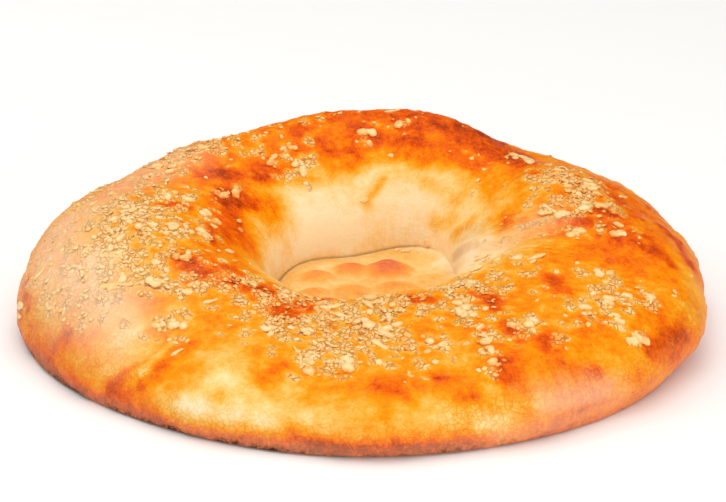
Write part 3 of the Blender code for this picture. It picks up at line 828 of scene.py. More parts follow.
    (0.0048, -0.10, 336, 1.89, 339, 1.98, 342, 2.07),
    (0.0026, 0.12, 221, 2.34, 228, 2.46),
    (0.0026, 0.12, 214, 2.72, 216, 2.67),
    (0.0026, 0.12, 329, 2.53, 327, 2.60),
    (0.0035, 0.14, 303, 2.11, 304, 2.04),
    (0.0029, -0.10, 272, 2.00, 270, 2.01),
    (0.0110, 0.12, 60, 2.35, 76, 2.42, 84, 2.60),
    (0.0100, 0.13, 104, 2.72, 116, 2.60),
    (0.0080, 0.16, 128, 2.28, 136, 2.35),
    (0.0110, 0.12, 137, 2.95),
    (0.0110, -0.10, 46, 2.90, 38, 2.70),
    (0.0120, -0.12, 88, 2.98, 97, 3.05),
    (0.0070, -0.10, 112, 2.35, 104, 2.25),
    (0.0046, 0.07, 330, 2.99, 323, 2.99, 316, 3.07, 310, 3.23),
    (0.0048, 0.14, 308, 3.04, 302, 3.41, 296, 3.57),
    (0.0041, 0.10, 315, 2.50, 313, 2.44),
    (0.0033, 0.12, 111, 1.59, 102, 1.57),
)
BROWN_RAGGED = 0.3
HIGH_FROM = 0.62
HIGH_BROWNER = 0.16
HIGH_AT = ((1.5, 0), (1.8, 1), (2.6, 1), (3.0, 0))
UNDER_GARLIC = 0.14
LEAN = 0.03
LEAN_TO = math.radians(335)
LEAN_AT = ((1.7, 0), (2.0, 1), (3.2, 1), (3.6, 0))
EASED_FROM = 0.66
EASED_SPAN = 0.22
# Where the skin is dry and dusty, wrinkled, and crackled. The dusty places also carry a
# painted sheen: a pale pinkish highlight on the left flank and the right front, and a painted
# reflection of the pale table along the lower edge. The rows are like those above, with
# a share from 0 to 1.
DUST_AND_SHEEN_RAGGED = 0.2
DUST_AND_SHEEN_AT = ((0, 0.16), (0.95, 0.16), (1.05, 0), (2.8, 0), (3.2, 0.14), (4.0, 0.30))
DUST_AND_SHEEN_PLACES = (
    (0.0160, 0.70, 180, 2.51, 194, 2.55, 206, 2.52, 218, 2.50),
    (0.0120, 0.45, 176, 2.32, 166, 2.20, 150, 2.12),
    (0.0083, 0.34, 346, 1.30, 348, 1.60, 352, 1.82),
    (0.0055, 0.5, 298, 2.88, 303, 2.92, 309, 2.97),
    (0.0065, 0.34, 290, 3.60, 303, 3.50, 312, 3.40),
)
WRINKLED_PLACES = (
    (0.0120, 0.80, 20, 1.15, 8, 1.30, -6, 1.50, -10, 1.85),
    (0.0080, 0.8, 306, 1.61, 317, 1.73, 326, 1.89, 339, 1.93),
    (0.0080, 0.25, 43, 1.12, 32, 1.35, 22, 1.55),
    (0.0100, 0.35, 145, 1.20, 120, 1.15, 90, 1.12, 62, 1.12),
    (0.0090, 0.5, 155, 1.55, 150, 1.35),
    (0.0085, 0.4, 284, 2.92, 293, 2.96, 300, 2.85, 308, 2.88),
    (0.0120, 0.4, 205, 2.50, 215, 2.55, 226, 2.50),
)
CRACKLED_PLACES = (
    (0.0170, 1.0, 168, 2.35, 180, 2.60, 192, 2.75, 204, 2.70, 212, 2.50),
    (0.0080, 0.6, 210, 2.95, 222, 2.85, 232, 2.75),
    (0.0120, 0.7, 172, 2.20, 152, 2.15),
    (0.0085, 0.7, 238, 3.50, 255, 3.50, 272, 3.30, 290, 3.20, 305, 3.10, 320, 2.90, 335, 2.80),
    (0.0085, 0.7, 284, 2.85, 296, 2.85, 308, 2.80),
)
SCORCHED_AT = ((3.1, 0), (3.6, 0.15), (3.9, 0.6), (4.1, 0.8), (4.3, 0.55), (5.0, 0.45))
SCORCHED_TO = math.radians(228)
SCORCH_GATHERING = 3.2
SCORCHED_ALL_ROUND = ((3.9, 0), (4.3, 0.7))
SCORCH_SPOTS = ((0.012, 0.35, 21), (0.004, 0.25, 22))
CREASE_SHADE = 0.35
FLOOR_SHADE = 0.07
FOOT_SHADE = 0.07
FOOT_AT = ((0.99, 0), (1.0, 1), (1.08, 1), (1.25, 0))


def crust_grid():
    """Azimuth and station of every point of the crust's grid, from the floor's middle to the base's."""
    rings = np.concatenate([np.linspace(a, b, n, endpoint=False) for a, b, n in CRUST_RINGS])[1:]
    turn = np.arange(CRUST_SEGMENTS) * math.tau / CRUST_SEGMENTS
    azimuth = np.concatenate([[0.0], np.tile(turn, len(rings)), [0.0]])
    station = np.concatenate([[CENTRE], np.repeat(rings, CRUST_SEGMENTS), [BASE_CENTRE]])
    return azimuth, station, len(rings)


def browning_and_painted_light(points, azimuth, station):
    """How brown each place is, from 0, raw dough, to 1, burnt: a value along the section,
    more where the rim is high, more on the floor's lumps, and the named places. A few named places
    paint light instead: a shadow at the left end of the floor's crease, and highlights along three
    folds. Above EASED_FROM it eases towards a highest value."""
    total = np.interp(station, *zip(*BROWN_AT))
    height = np.clip((points[:, 2] / RIM_HEIGHT - HIGH_FROM) / (1 - HIGH_FROM), 0, 1)
    total += HIGH_BROWNER * height * np.interp(station, *zip(*HIGH_AT))
    total += lumps(azimuth, station, [row[4] for row in LUMPS])
    total += LEAN * np.cos(azimuth - LEAN_TO) * np.interp(station, *zip(*LEAN_AT))
    total -= UNDER_GARLIC * garlic_cover(azimuth, station)
    for reach, browner, *path in BROWNING_AND_PAINTED_LIGHT_PLACES:
        total += browner * nearness(points, reach, path, BROWN_RAGGED)
    over = np.clip(total - EASED_FROM, 0, None)
    return np.minimum(total, EASED_FROM) + EASED_SPAN * np.tanh(over / EASED_SPAN)


def strongest(points, places, ragged=BROWN_RAGGED):
    """The strongest of some places' shares at each point, each falling off round its path."""
    total = np.zeros(len(points))
    for reach, share, *path in places:
        total = np.maximum(total, share * nearness(points, reach, path, ragged))
    return total


def scorching(points, azimuth, station):
    """Where the edge and the base touched the hot wall and burnt, from 0 to 1, in uneven spots."""
    more_left = (0.5 + 0.5 * np.cos(azimuth - SCORCHED_TO)) ** SCORCH_GATHERING
    around_it = np.maximum(more_left, np.interp(station, *zip(*SCORCHED_ALL_ROUND)))
    uneven = 1 + sum(depth * rough_field(points, length, seed) for length, depth, seed in SCORCH_SPOTS)
    return np.clip(np.interp(station, *zip(*SCORCHED_AT)) * around_it * uneven, 0, 1)


def shading(azimuth, station):
    """How shadowed the crease is, and less so the foot of the wall behind it and the floor."""
    foot = at_crease(azimuth) * np.interp(station, *zip(*FOOT_AT))
    return CREASE_SHADE * creased(azimuth, station) + FOOT_SHADE * foot + FLOOR_SHADE * (station < CREASE)


azimuth, station, ring_count = crust_grid()
crust_points = crust_surface(azimuth, station)
crust_values = {
    "browning_and_painted_light": browning_and_painted_light(crust_points, azimuth, station),
    # Dust on the dry skin, with a painted sheen on it and a painted reflection of the table along the lower
    # edge.
    "dust_and_sheen": np.maximum(
        np.interp(station, *zip(*DUST_AND_SHEEN_AT)), strongest(crust_points, DUST_AND_SHEEN_PLACES, DUST_AND_SHEEN_RAGGED)
    ),
    "scorching": scorching(crust_points, azimuth, station),
    "garlic_cover": garlic_cover(azimuth, station),
    "crease": shading(azimuth, station),
    "wrinkling": strongest(crust_points, WRINKLED_PLACES),
    "crackling": strongest(crust_points, CRACKLED_PLACES),
}

# Baked bread crust, brushed with butter: sugars and starch browned from cream through orange
# to dark brown, in a thin film of fat that shines softly. Between the chunks it is covered
# with a paste of garlic grains, each with its own paleness and a darker outline, which is
# painted shade in the gaps between the grains. The same cells, without their paleness, are
# the crackle of the dry flanks, where the outlines are its cracks.
CRUST_COLOURS = (
    (0.00, "#F8E0B2"),
    (0.10, "#F7D190"),
    (0.20, "#F3C16A"),
    (0.32, "#F2AB40"),
    (0.44, "#F0970E"),
    (0.56, "#F08302"),
    (0.68, "#E96902"),
    (0.80, "#D84E03"),
    (0.90, "#AE3C07"),
    (1.00, "#7A2204"),
)
DARKEST_TONE = 0.94
# The outlines' colour is painted shade in the gaps between garlic grains, and the colour of the crackle's
# cracks. The dust's colour also paints a pale sheen.
OUTLINE_SHADE_AND_CRACK_COLOUR, GRAIN_COLOUR, DUST_AND_SHEEN_COLOUR = "#B47C3C", "#F2CFA4", "#F6C6A0"
CHAR_COLOUR, SHADOW_COLOUR = "#4A2412", "#8E6E34"
MOTTLES = ((0.012, 0.12), (0.005, 0.16), (0.0020, 0.14), (0.0008, 0.12))
PASTE_GRAIN = 0.0019
GRAIN_WANDER = 0.0025
GRAIN_BEND = 0.0030
FINE_GRAIN = 0.0012
FAN_MIDDLE = (0.030, 0.012, 0.0)
FAN_LEFT, FAN_FRONT = 0.030, -0.015
WRINKLE_RUN = 0.012
HOLLOW_EDGE = 0.08
WRINKLES_IN, WRINKLES_OUT = 32.0, 75.0
WRINKLE_TONE = 0.20
NOISE_SPAN = (0.3, 0.7)
EVEN_BELOW, EVEN_SHARE = 0.5, 0.35
BURNT_TONES = (0.60, 0.78)
FILM_COVERS, FILM_SHARE = (0.22, 0.62), 0.75
FILM_TONE_SHARE, FILM_TONE = 0.45, 0.12
GRAIN_NEEDS, GRAIN_FADE = (0.34, 0.80), 0.12
GRAIN_TONE_SHARE, GRAIN_TONES = 0.25, (0.02, 0.28)
CELL_OUTLINE = (0.01, 0.13)
OUTLINE_SHADE_AND_CRACK_TONE = 0.14
OUTLINE_TINT, GRAIN_TINT = 0.30, 0.30
CHAR_SPAN, CHAR_FLECKS = (0.35, 0.65), (0.25, 1.7)
WRINKLE_RELIEF, OUTLINE_RELIEF, GRAIN_RELIEF = 2.0, -0.6, 0.9
DRY_ROUGHNESS = (0.34, 0.55)
GLOSS_SPAN, GLOSS = (0.56, 0.72), (0.03, 0.14)

crust_finish = new_finish("baked_crust_buttered")
place = add_node(crust_finish, "TexCoord").outputs["Object"]
browned_and_painted_light, dust_and_sheen_share, scorched, covered, shadowed, wrinkled, crackled = (
    add_node(crust_finish, "Attribute", attribute_name=name).outputs["Fac"] for name in crust_values
)

# The wrinkles run outwards from the hollow's middle, and at the right from the end of the crease. They
# are noise over the direction from there, so many to a radian, that changes slowly with the distance.
sides = add_node(crust_finish, "SeparateXYZ", (place,))
at_right = add_node(crust_finish, "Math", (sides.outputs["X"], FAN_LEFT), operation="GREATER_THAN")
at_back = add_node(crust_finish, "Math", (sides.outputs["Y"], FAN_FRONT), operation="GREATER_THAN")
fanned = add_node(crust_finish, "Math", (at_right, at_back), operation="MULTIPLY")
fan_middle = add_node(crust_finish, "VectorMath", {0: FAN_MIDDLE, "Scale": fanned}, operation="SCALE")
from_middle = add_node(crust_finish, "VectorMath", (place, fan_middle), operation="SUBTRACT")
flat = add_node(crust_finish, "VectorMath", (from_middle, (1.0, 1.0, 0.0)), operation="MULTIPLY")
away = add_node(crust_finish, "VectorMath", (flat,), operation="LENGTH")
bearing = add_node(crust_finish, "VectorMath", (flat,), operation="NORMALIZE")
run = add_node(crust_finish, "Math", (away, 1 / WRINKLE_RUN), operation="MULTIPLY")
outer = add_node(crust_finish, "Math", (away, HOLLOW_EDGE), operation="GREATER_THAN")
closeness = add_node(
    crust_finish, "Math", (outer, WRINKLES_OUT - WRINKLES_IN, WRINKLES_IN), operation="MULTIPLY_ADD"
)
down = add_node(crust_finish, "CombineXYZ", {"Z": run})
sweep = add_node(crust_finish, "VectorMath", (bearing, closeness, down), operation="MULTIPLY_ADD")
stripes = add_node(
    crust_finish,
    "TexNoise",
    {"Vector": sweep, "Scale": 1.0, "Detail": 3.0, "Roughness": 0.6, "Distortion": 0.9},
)
wrinkles = add_node(crust_finish, "Math", (stripes, wrinkled), operation="MULTIPLY")

# The tone is how brown each spot is. Mottling shifts it, and shifts the palest crust least. A map
# range's inputs are a value, the lowest and highest that it is taken from, and those that it becomes.
striped = add_node(crust_finish, "MapRange", (stripes, *NOISE_SPAN, WRINKLE_TONE, -WRINKLE_TONE), clamp=False)
mottling = add_node(crust_finish, "Math", (striped, wrinkled), operation="MULTIPLY")
for size, depth in MOTTLES:
    field = {"Vector": place, "Scale": 1 / size, "Detail": 2.0, "Roughness": 0.6}
    mottle = add_node(crust_finish, "TexNoise", field)
    shift = add_node(crust_finish, "MapRange", (mottle, *NOISE_SPAN, -depth / 2, depth / 2), clamp=False)
    mottling = add_node(crust_finish, "Math", (mottling, shift), operation="ADD")
unevenness = add_node(crust_finish, "MapRange", (browned_and_painted_light, 0.0, EVEN_BELOW, EVEN_SHARE, 1.0))
tone = add_node(crust_finish, "Math", (mottling, unevenness, browned_and_painted_light), operation="MULTIPLY_ADD")

# The garlic paste. A thin film of it makes the crust paler. Its grains are bent cells, and a cell is
# a grain where the cover is more than its own random need. Where the crust is burnt, there are none.
wander = add_node(
    crust_finish, "TexNoise", {"Vector": place, "Scale": 1 / GRAIN_WANDER, "Detail": 3.0, "Roughness": 0.6}
)
warped = add_node(
    crust_finish, "VectorMath", (wander.outputs["Color"], (GRAIN_BEND,) * 3, place), operation="MULTIPLY_ADD"
)
cells = {"Vector": warped, "Scale": 1 / PASTE_GRAIN}
grain = add_node(crust_finish, "TexVoronoi", cells)
rim = add_node(crust_finish, "TexVoronoi", cells, feature="DISTANCE_TO_EDGE")
chance = add_node(crust_finish, "SeparateColor", (grain.outputs["Color"],))
unburnt = add_node(crust_finish, "MapRange", (browned_and_painted_light, *BURNT_TONES, 1.0, 0.0))
film = add_node(
    crust_finish, "MapRange", (covered, *FILM_COVERS, 0.0, FILM_SHARE), interpolation_type="SMOOTHSTEP"
)
film_share = add_node(crust_finish, "Math", (film, unburnt), operation="MULTIPLY")
paste_tone = add_node(crust_finish, "Math", (tone, FILM_TONE_SHARE, FILM_TONE), operation="MULTIPLY_ADD")
film_tone = add_node(crust_finish, "Mix", {"Factor": film_share, "A": tone, "B": paste_tone})
needed = add_node(crust_finish, "MapRange", (chance.outputs["Red"], 0.0, 1.0, *GRAIN_NEEDS))
surplus = add_node(crust_finish, "Math", (covered, needed), operation="SUBTRACT")
present = add_node(crust_finish, "MapRange", (surplus, 0.0, GRAIN_FADE, 0.0, unburnt))
inside = add_node(crust_finish, "MapRange", (rim, *CELL_OUTLINE), interpolation_type="SMOOTHSTEP")
between = add_node(crust_finish, "Math", (1.0, inside), operation="SUBTRACT")
celled = add_node(crust_finish, "Math", (present, crackled), operation="MAXIMUM")
grain_share = add_node(crust_finish, "Math", (present, inside), operation="MULTIPLY")
outline_share = add_node(crust_finish, "Math", (celled, between), operation="MULTIPLY")
own = add_node(crust_finish, "MapRange", (chance.outputs["Green"], 0.0, 1.0, *GRAIN_TONES))
grain_tone = add_node(crust_finish, "Math", (tone, GRAIN_TONE_SHARE, own), operation="MULTIPLY_ADD")
# The outlines' tone is darker: painted shade in the gaps between the garlic grains, and the cracks of the
# crackle.
outline_tone = add_node(crust_finish, "Math", (film_tone, OUTLINE_SHADE_AND_CRACK_TONE), operation="ADD")
with_grains = add_node(crust_finish, "Mix", {"Factor": grain_share, "A": film_tone, "B": grain_tone})
with_outlines = add_node(crust_finish, "Mix", {"Factor": outline_share, "A": with_grains, "B": outline_tone})
final_tone = add_node(crust_finish, "Math", (with_outlines, DARKEST_TONE), operation="MINIMUM")

# The colour of that tone, with the outlines darker, the grains creamier, the dry skin dusty
# and painted with a pale sheen, the scorched edge flecked with char, and the crease in painted
# shadow. The darker outlines are painted shade in the gaps between the garlic grains, and the
# cracks of the crackle.
fine = add_node(
    crust_finish, "TexNoise", {"Vector": place, "Scale": 1 / FINE_GRAIN, "Detail": 3.0, "Roughness": 0.65}
)
flecks = add_node(crust_finish, "MapRange", (fine, *CHAR_SPAN, *CHAR_FLECKS))
charred = add_node(crust_finish, "Math", (scorched, flecks), operation="MULTIPLY", use_clamp=True)
outlined = add_node(crust_finish, "Math", (outline_share, OUTLINE_TINT), operation="MULTIPLY")
creamy = add_node(crust_finish, "Math", (grain_share, GRAIN_TINT), operation="MULTIPLY")
colour = add_node(crust_finish, "ValToRGB", (final_tone,), CRUST_COLOURS)
for share, tint in (
    (outlined, OUTLINE_SHADE_AND_CRACK_COLOUR),
    (creamy, GRAIN_COLOUR),
    # The dusty skin's colour, which also paints its sheen and the table's reflection.
    (dust_and_sheen_share, DUST_AND_SHEEN_COLOUR),
    (charred, CHAR_COLOUR),
    (shadowed, SHADOW_COLOUR),
):
    mixed = {"Factor": share, "A": colour, "B": linear(tint)}
    colour = add_node(crust_finish, "Mix", mixed, data_type="RGBA")
raised = fine
for share, height in (
    (wrinkles, WRINKLE_RELIEF),
    (outline_share, OUTLINE_RELIEF),
    (grain_share, GRAIN_RELIEF),
):
    raised = add_node(crust_finish, "Math", (share, height, raised), operation="MULTIPLY_ADD")
bump = add_node(crust_finish, "Bump", {"Height": raised, "Strength": 0.7, "Distance": 0.0004})
shine = add_node(crust_finish, "MapRange", (dust_and_sheen_share, 0.0, 1.0, *DRY_ROUGHNESS))
gloss = add_node(crust_finish, "MapRange", (wander, *GLOSS_SPAN, *GLOSS), interpolation_type="SMOOTHSTEP")
crust_shader = add_node(
    crust_finish,
    "BsdfPrincipled",
    {
        "Base Color": colour,
        "Roughness": shine,
        "Normal": bump,
        "IOR": 1.46,
        "Subsurface Weight": 0.08,
        "Subsurface Radius": (1.0, 0.45, 0.18),
        "Subsurface Scale": 0.0015,
        "Specular IOR Level": gloss,
        "Coat Weight": 0.01,
        "Coat Roughness": 0.22,
    },
)
add_node(crust_finish, "OutputMaterial", {"Surface": crust_shader})

crust = make_piece("crust", crust_points, grid_faces(ring_count, CRUST_SEGMENTS), crust_finish, crust_values)
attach(crust, "root")
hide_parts("flatbread")


# The chopped garlic. Raw cloves were chopped and minced, mixed with butter and strewn on the dough, so the
# bits baked onto it: the largest are those of the solid, and slivers and fine grains lie between them.
CHUNK_LENGTH = (0.0028, 0.0050)
CHUNK_WIDTH_SHARE = (0.55, 0.85)
CHUNK_THICKNESS_SHARE = (0.30, 0.46)
CHUNK_ROUGHNESS = 0.20
CHUNK_SUNK = 0.38
CHUNK_SEED = 12
CHUNK_RINGS, CHUNK_SEGMENTS = 8, 12
CHUNK_SQUARENESS = 0.85
CHUNK_KNOB_SHARPNESS = 7
CHUNK_DENT_LENGTH, CHUNK_DENT_DEPTH, CHUNK_DENT_SEED = 1.1, 0.07, 40
CHUNK_TOAST, CHUNK_TOAST_SEED = (-0.20, 0.22), 3
CHUNK_TOP_HIGHLIGHT = 0.34


def garlic_frames(azimuth, station, turn, tilt):
    """Three unit axes for each bit: the third is the crust's normal, tipped by tilt, and the
    first is turned about it from the direction that climbs most steeply."""
    normal = outward(azimuth, station) + tilt
    normal /= np.linalg.norm(normal, axis=-1, keepdims=True)
    up = np.array([0.0, 0.0, 1.0]) - normal[:, 2:3] * normal
    up /= np.linalg.norm(up, axis=-1, keepdims=True)
    side = np.cross(normal, up)
    cosine, sine = np.cos(turn)[:, None], np.sin(turn)[:, None]
    return np.stack([up * cosine + side * sine, side * cosine - up * sine, normal], axis=1)


def rounded(value, squareness):
    """A sine or cosine raised to a power below 1, with its sign kept."""
    return np.sign(value) * np.abs(value) ** squareness


def bit_shape(rings, segments, squareness):
    """A unit ball squared off a little: each of its coordinates is a product of rounded sines
    and cosines."""
    polar = np.linspace(0, math.pi, rings + 1)[1:-1, None]
    turn = np.arange(segments) * math.tau / segments
    across = rounded(np.sin(polar), squareness)
    x, y = across * rounded(np.cos(turn), squareness), across * rounded(np.sin(turn), squareness)
    z = np.broadcast_to(rounded(np.cos(polar), squareness), x.shape)
    body = np.stack([x, y, z], axis=-1).reshape(-1, 3)
    return np.concatenate([[[0, 0, 1.0]], body, [[0, 0, -1.0]]])


def repeated(faces, point_count, copies):
    """The faces of some copies of a shape, for points that follow one another copy by copy."""
    first = point_count * np.arange(copies)[:, None, None]
    return [(rows[None] + first).reshape(-1, rows.shape[1]) for rows in faces]


def scatter(shapes, sizes, frames, centres):
    """Points of many bits: each bit's shape times its half size, turned to its own axes and
    moved to its centre."""
    points = np.einsum("nvk,nkc->nvc", shapes * sizes[:, None, :] / 2, frames) + centres[:, None, :]
    return points.reshape(-1, 3)


def patch_rows(column):
    """Hour, station and both reaches of each patch, once for each of its bits, as that column
    counts them."""
    patches = np.array(GARLIC_PATCHES)
    return np.repeat(patches[:, :4], patches[:, column].astype(int), axis=0).T


def chunk_places(rng):
    """Where the chunks lie, patch by patch, with the same draws as the solid's: at any angle
    from the middle, and at the root of a random share of the reach."""
    hour, at, reach_round, reach_along = patch_rows(4)
    draw = rng.random((len(hour), 2))
    angle, share = draw[:, 0] * math.tau, np.sqrt(draw[:, 1])
    radius, _ = section(np.radians(hour), at)
    azimuth = np.radians(hour) + share * np.cos(angle) * reach_round / radius
    return azimuth, at + share * np.sin(angle) * reach_along / STATION_LENGTH


def knob_directions():
    """The corners of an icosahedron: a pole at each end, and two rings of five corners, named
    by their bearing."""
    height, radius = 1 / 5**0.5, 2 / 5**0.5
    corners = [(0, 0, -1)]
    for z, bearings in ((-height, (-36, -108, 180, 108, 36)), (height, (-72, -144, 144, 72, 0))):
        corners += [(radius * math.cos(a), radius * math.sin(a), z) for a in np.radians(bearings)]
    return np.array([*corners, (0, 0, 1)])


rng = np.random.default_rng(CHUNK_SEED)
chunk_azimuth, chunk_station = chunk_places(rng)
draw = rng.random((len(chunk_azimuth), 16))
length = CHUNK_LENGTH[0] + np.ptp(CHUNK_LENGTH) * draw[:, 0]
width = length * (CHUNK_WIDTH_SHARE[0] + np.ptp(CHUNK_WIDTH_SHARE) * draw[:, 1])
thickness = length * (CHUNK_THICKNESS_SHARE[0] + np.ptp(CHUNK_THICKNESS_SHARE) * draw[:, 2])
knobs = CHUNK_ROUGHNESS * (2 * draw[:, 3:15] - 1)
frames = garlic_frames(chunk_azimuth, chunk_station, math.tau * draw[:, 15], 0.0)
ball = bit_shape(CHUNK_RINGS, CHUNK_SEGMENTS, CHUNK_SQUARENESS)
toward = ball / np.linalg.norm(ball, axis=1, keepdims=True)
weight = np.exp(CHUNK_KNOB_SHARPNESS * (toward @ knob_directions().T - 1))
swelling = 1 + knobs @ (weight / weight.sum(axis=1, keepdims=True)).T
shapes = ball[None] * swelling[..., None]
dents = [rough_field(shape + n, CHUNK_DENT_LENGTH, CHUNK_DENT_SEED) for n, shape in enumerate(shapes)]
shapes *= 1 + CHUNK_DENT_DEPTH * np.stack(dents)[..., None]
centres = bread_surface(chunk_azimuth, chunk_station)
centres += frames[:, 2] * (thickness * (0.5 - CHUNK_SUNK))[:, None]
chunk_points = scatter(shapes, np.stack([length, width, thickness], axis=-1), frames, centres)
chunk_faces = repeated(grid_faces(CHUNK_RINGS - 1, CHUNK_SEGMENTS), len(ball), len(length))
toast = np.random.default_rng(CHUNK_TOAST_SEED).uniform(*CHUNK_TOAST, len(length))
toast += browning_and_painted_light(centres, chunk_azimuth, chunk_station)
# Each chunk is paler towards its top, a painted highlight, and darker towards the crust, where it toasted and
# where painted shade falls.
toasts = np.repeat(toast, len(ball)) - CHUNK_TOP_HIGHLIGHT * np.tile(toward[:, 2], len(length))

# Garlic baked in butter: waxy, a little translucent, ivory inside, with straw-coloured and toasted edges.
# On chunks and grains the toast also holds a painted highlight on their tops and painted shade beneath.
FLESH_COLOURS = ((0.0, "#F7D296"), (0.35, "#F5C278"), (0.65, "#F0A850"), (0.9, "#E2842C"), (1.0, "#C05A14"))
FLESH_GRAIN = 0.0016
FLESH_UNEVENNESS = 0.25
garlic_finish = new_finish("garlic_baked_in_butter")
place = add_node(garlic_finish, "TexCoord").outputs["Object"]
toast_and_highlight = add_node(garlic_finish, "Attribute", attribute_name="toast").outputs["Fac"]
mottle = add_node(garlic_finish, "TexNoise", {"Vector": place, "Scale": 1 / FLESH_GRAIN, "Detail": 2.0})
shift = add_node(
    garlic_finish, "MapRange", (mottle, *NOISE_SPAN, -FLESH_UNEVENNESS, FLESH_UNEVENNESS), clamp=False
)
tone = add_node(garlic_finish, "Math", (toast_and_highlight, shift), operation="ADD")
flesh = add_node(garlic_finish, "ValToRGB", (tone,), FLESH_COLOURS)
bump = add_node(garlic_finish, "Bump", {"Height": mottle, "Strength": 0.4, "Distance": 0.0003})
garlic_shader = add_node(
    garlic_finish,
    "BsdfPrincipled",
    {
        "Base Color": flesh,
        "Roughness": 0.38,
        "Normal": bump,
        "IOR": 1.45,
        "Subsurface Weight": 0.15,
        "Subsurface Radius": (1.0, 0.7, 0.35),
        "Subsurface Scale": 0.001,
        "Specular IOR Level": 0.35,
        "Coat Weight": 0.08,
        "Coat Roughness": 0.2,
    },
)
add_node(garlic_finish, "OutputMaterial", {"Surface": garlic_shader})

chunks = make_piece("garlic_chunks", chunk_points, chunk_faces, garlic_finish, {"toast": toasts})
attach(chunks, "root")


# The minced garlic. Grains of 1.3 to 3.3 mm that fill the patches between the chunks, and a
# thin sprinkling all over, which baked onto the buttered crust.
GRAIN_LENGTH = (0.0013, 0.0033)
GRAIN_WIDTH_SHARE = (0.50, 0.95)
GRAIN_THICKNESS_SHARE = (0.16, 0.32)
GRAIN_LIFT_SHARE = (-0.12, 0.10)
GRAIN_LENGTH_DRAW = (1.3, 2.6)
GRAIN_TILT = 0.2
GRAIN_UNEVENNESS = 0.2
GRAIN_SEED = 31
GRAIN_KEPT = 0.60
GRAIN_RINGS, GRAIN_SEGMENTS = 4, 6
GRAIN_SQUARENESS = 0.75
GRAIN_TOAST = (-0.17, 0.32)
GRAIN_TOP_HIGHLIGHT = 0.30
SPRINKLE_COUNT = 70
SPRINKLE_STATION, SPRINKLE_SPREAD = 2.1, 0.35
rng = np.random.default_rng(GRAIN_SEED)
hour, at, reach_round, reach_along = patch_rows(5)
radius, _ = section(np.radians(hour), at)
spread = rng.normal(0, GRAIN_SPREAD, (len(hour), 2))
grain_azimuth = np.radians(hour) + spread[:, 0] * reach_round / radius
grain_station = at + spread[:, 1] * reach_along / STATION_LENGTH
kept = rng.random(len(hour)) < GRAIN_KEPT * clumping(plain_surface(grain_azimuth, grain_station))
sprinkled = rng.uniform(0, math.tau, SPRINKLE_COUNT)
grain_azimuth = np.concatenate([grain_azimuth[kept], sprinkled])
sprinkled = rng.normal(SPRINKLE_STATION, SPRINKLE_SPREAD, SPRINKLE_COUNT)
grain_station = np.concatenate([grain_station[kept], sprinkled])
count = len(grain_azimuth)
length = GRAIN_LENGTH[0] + np.ptp(GRAIN_LENGTH) * rng.beta(*GRAIN_LENGTH_DRAW, count)
width = length * rng.uniform(*GRAIN_WIDTH_SHARE, count)
thickness = length * rng.uniform(*GRAIN_THICKNESS_SHARE, count)
turn = rng.uniform(0, math.tau, count)
frames = garlic_frames(grain_azimuth, grain_station, turn, rng.normal(0, GRAIN_TILT, (count, 3)))
ball = bit_shape(GRAIN_RINGS, GRAIN_SEGMENTS, GRAIN_SQUARENESS)
shapes = ball[None] * (1 + rng.uniform(-GRAIN_UNEVENNESS, GRAIN_UNEVENNESS, (count, len(ball), 1)))
lift = thickness * rng.uniform(*GRAIN_LIFT_SHARE, count)
centres = crust_surface(grain_azimuth, grain_station) + frames[:, 2] * lift[:, None]
grain_points = scatter(shapes, np.stack([length, width, thickness], axis=-1), frames, centres)
grain_faces = repeated(grid_faces(GRAIN_RINGS - 1, GRAIN_SEGMENTS), len(ball), count)
toast = rng.uniform(*GRAIN_TOAST, count) + browning_and_painted_light(centres, grain_azimuth, grain_station)
# Each grain is paler towards its top, a painted highlight, and darker towards the crust, where it toasted and
# where painted shade falls.
toasts = np.repeat(toast, len(ball)) - GRAIN_TOP_HIGHLIGHT * np.tile(ball[:, 2], count)
grains = make_piece("garlic_mince", grain_points, grain_faces, garlic_finish, {"toast": toasts})
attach(grains, "root")


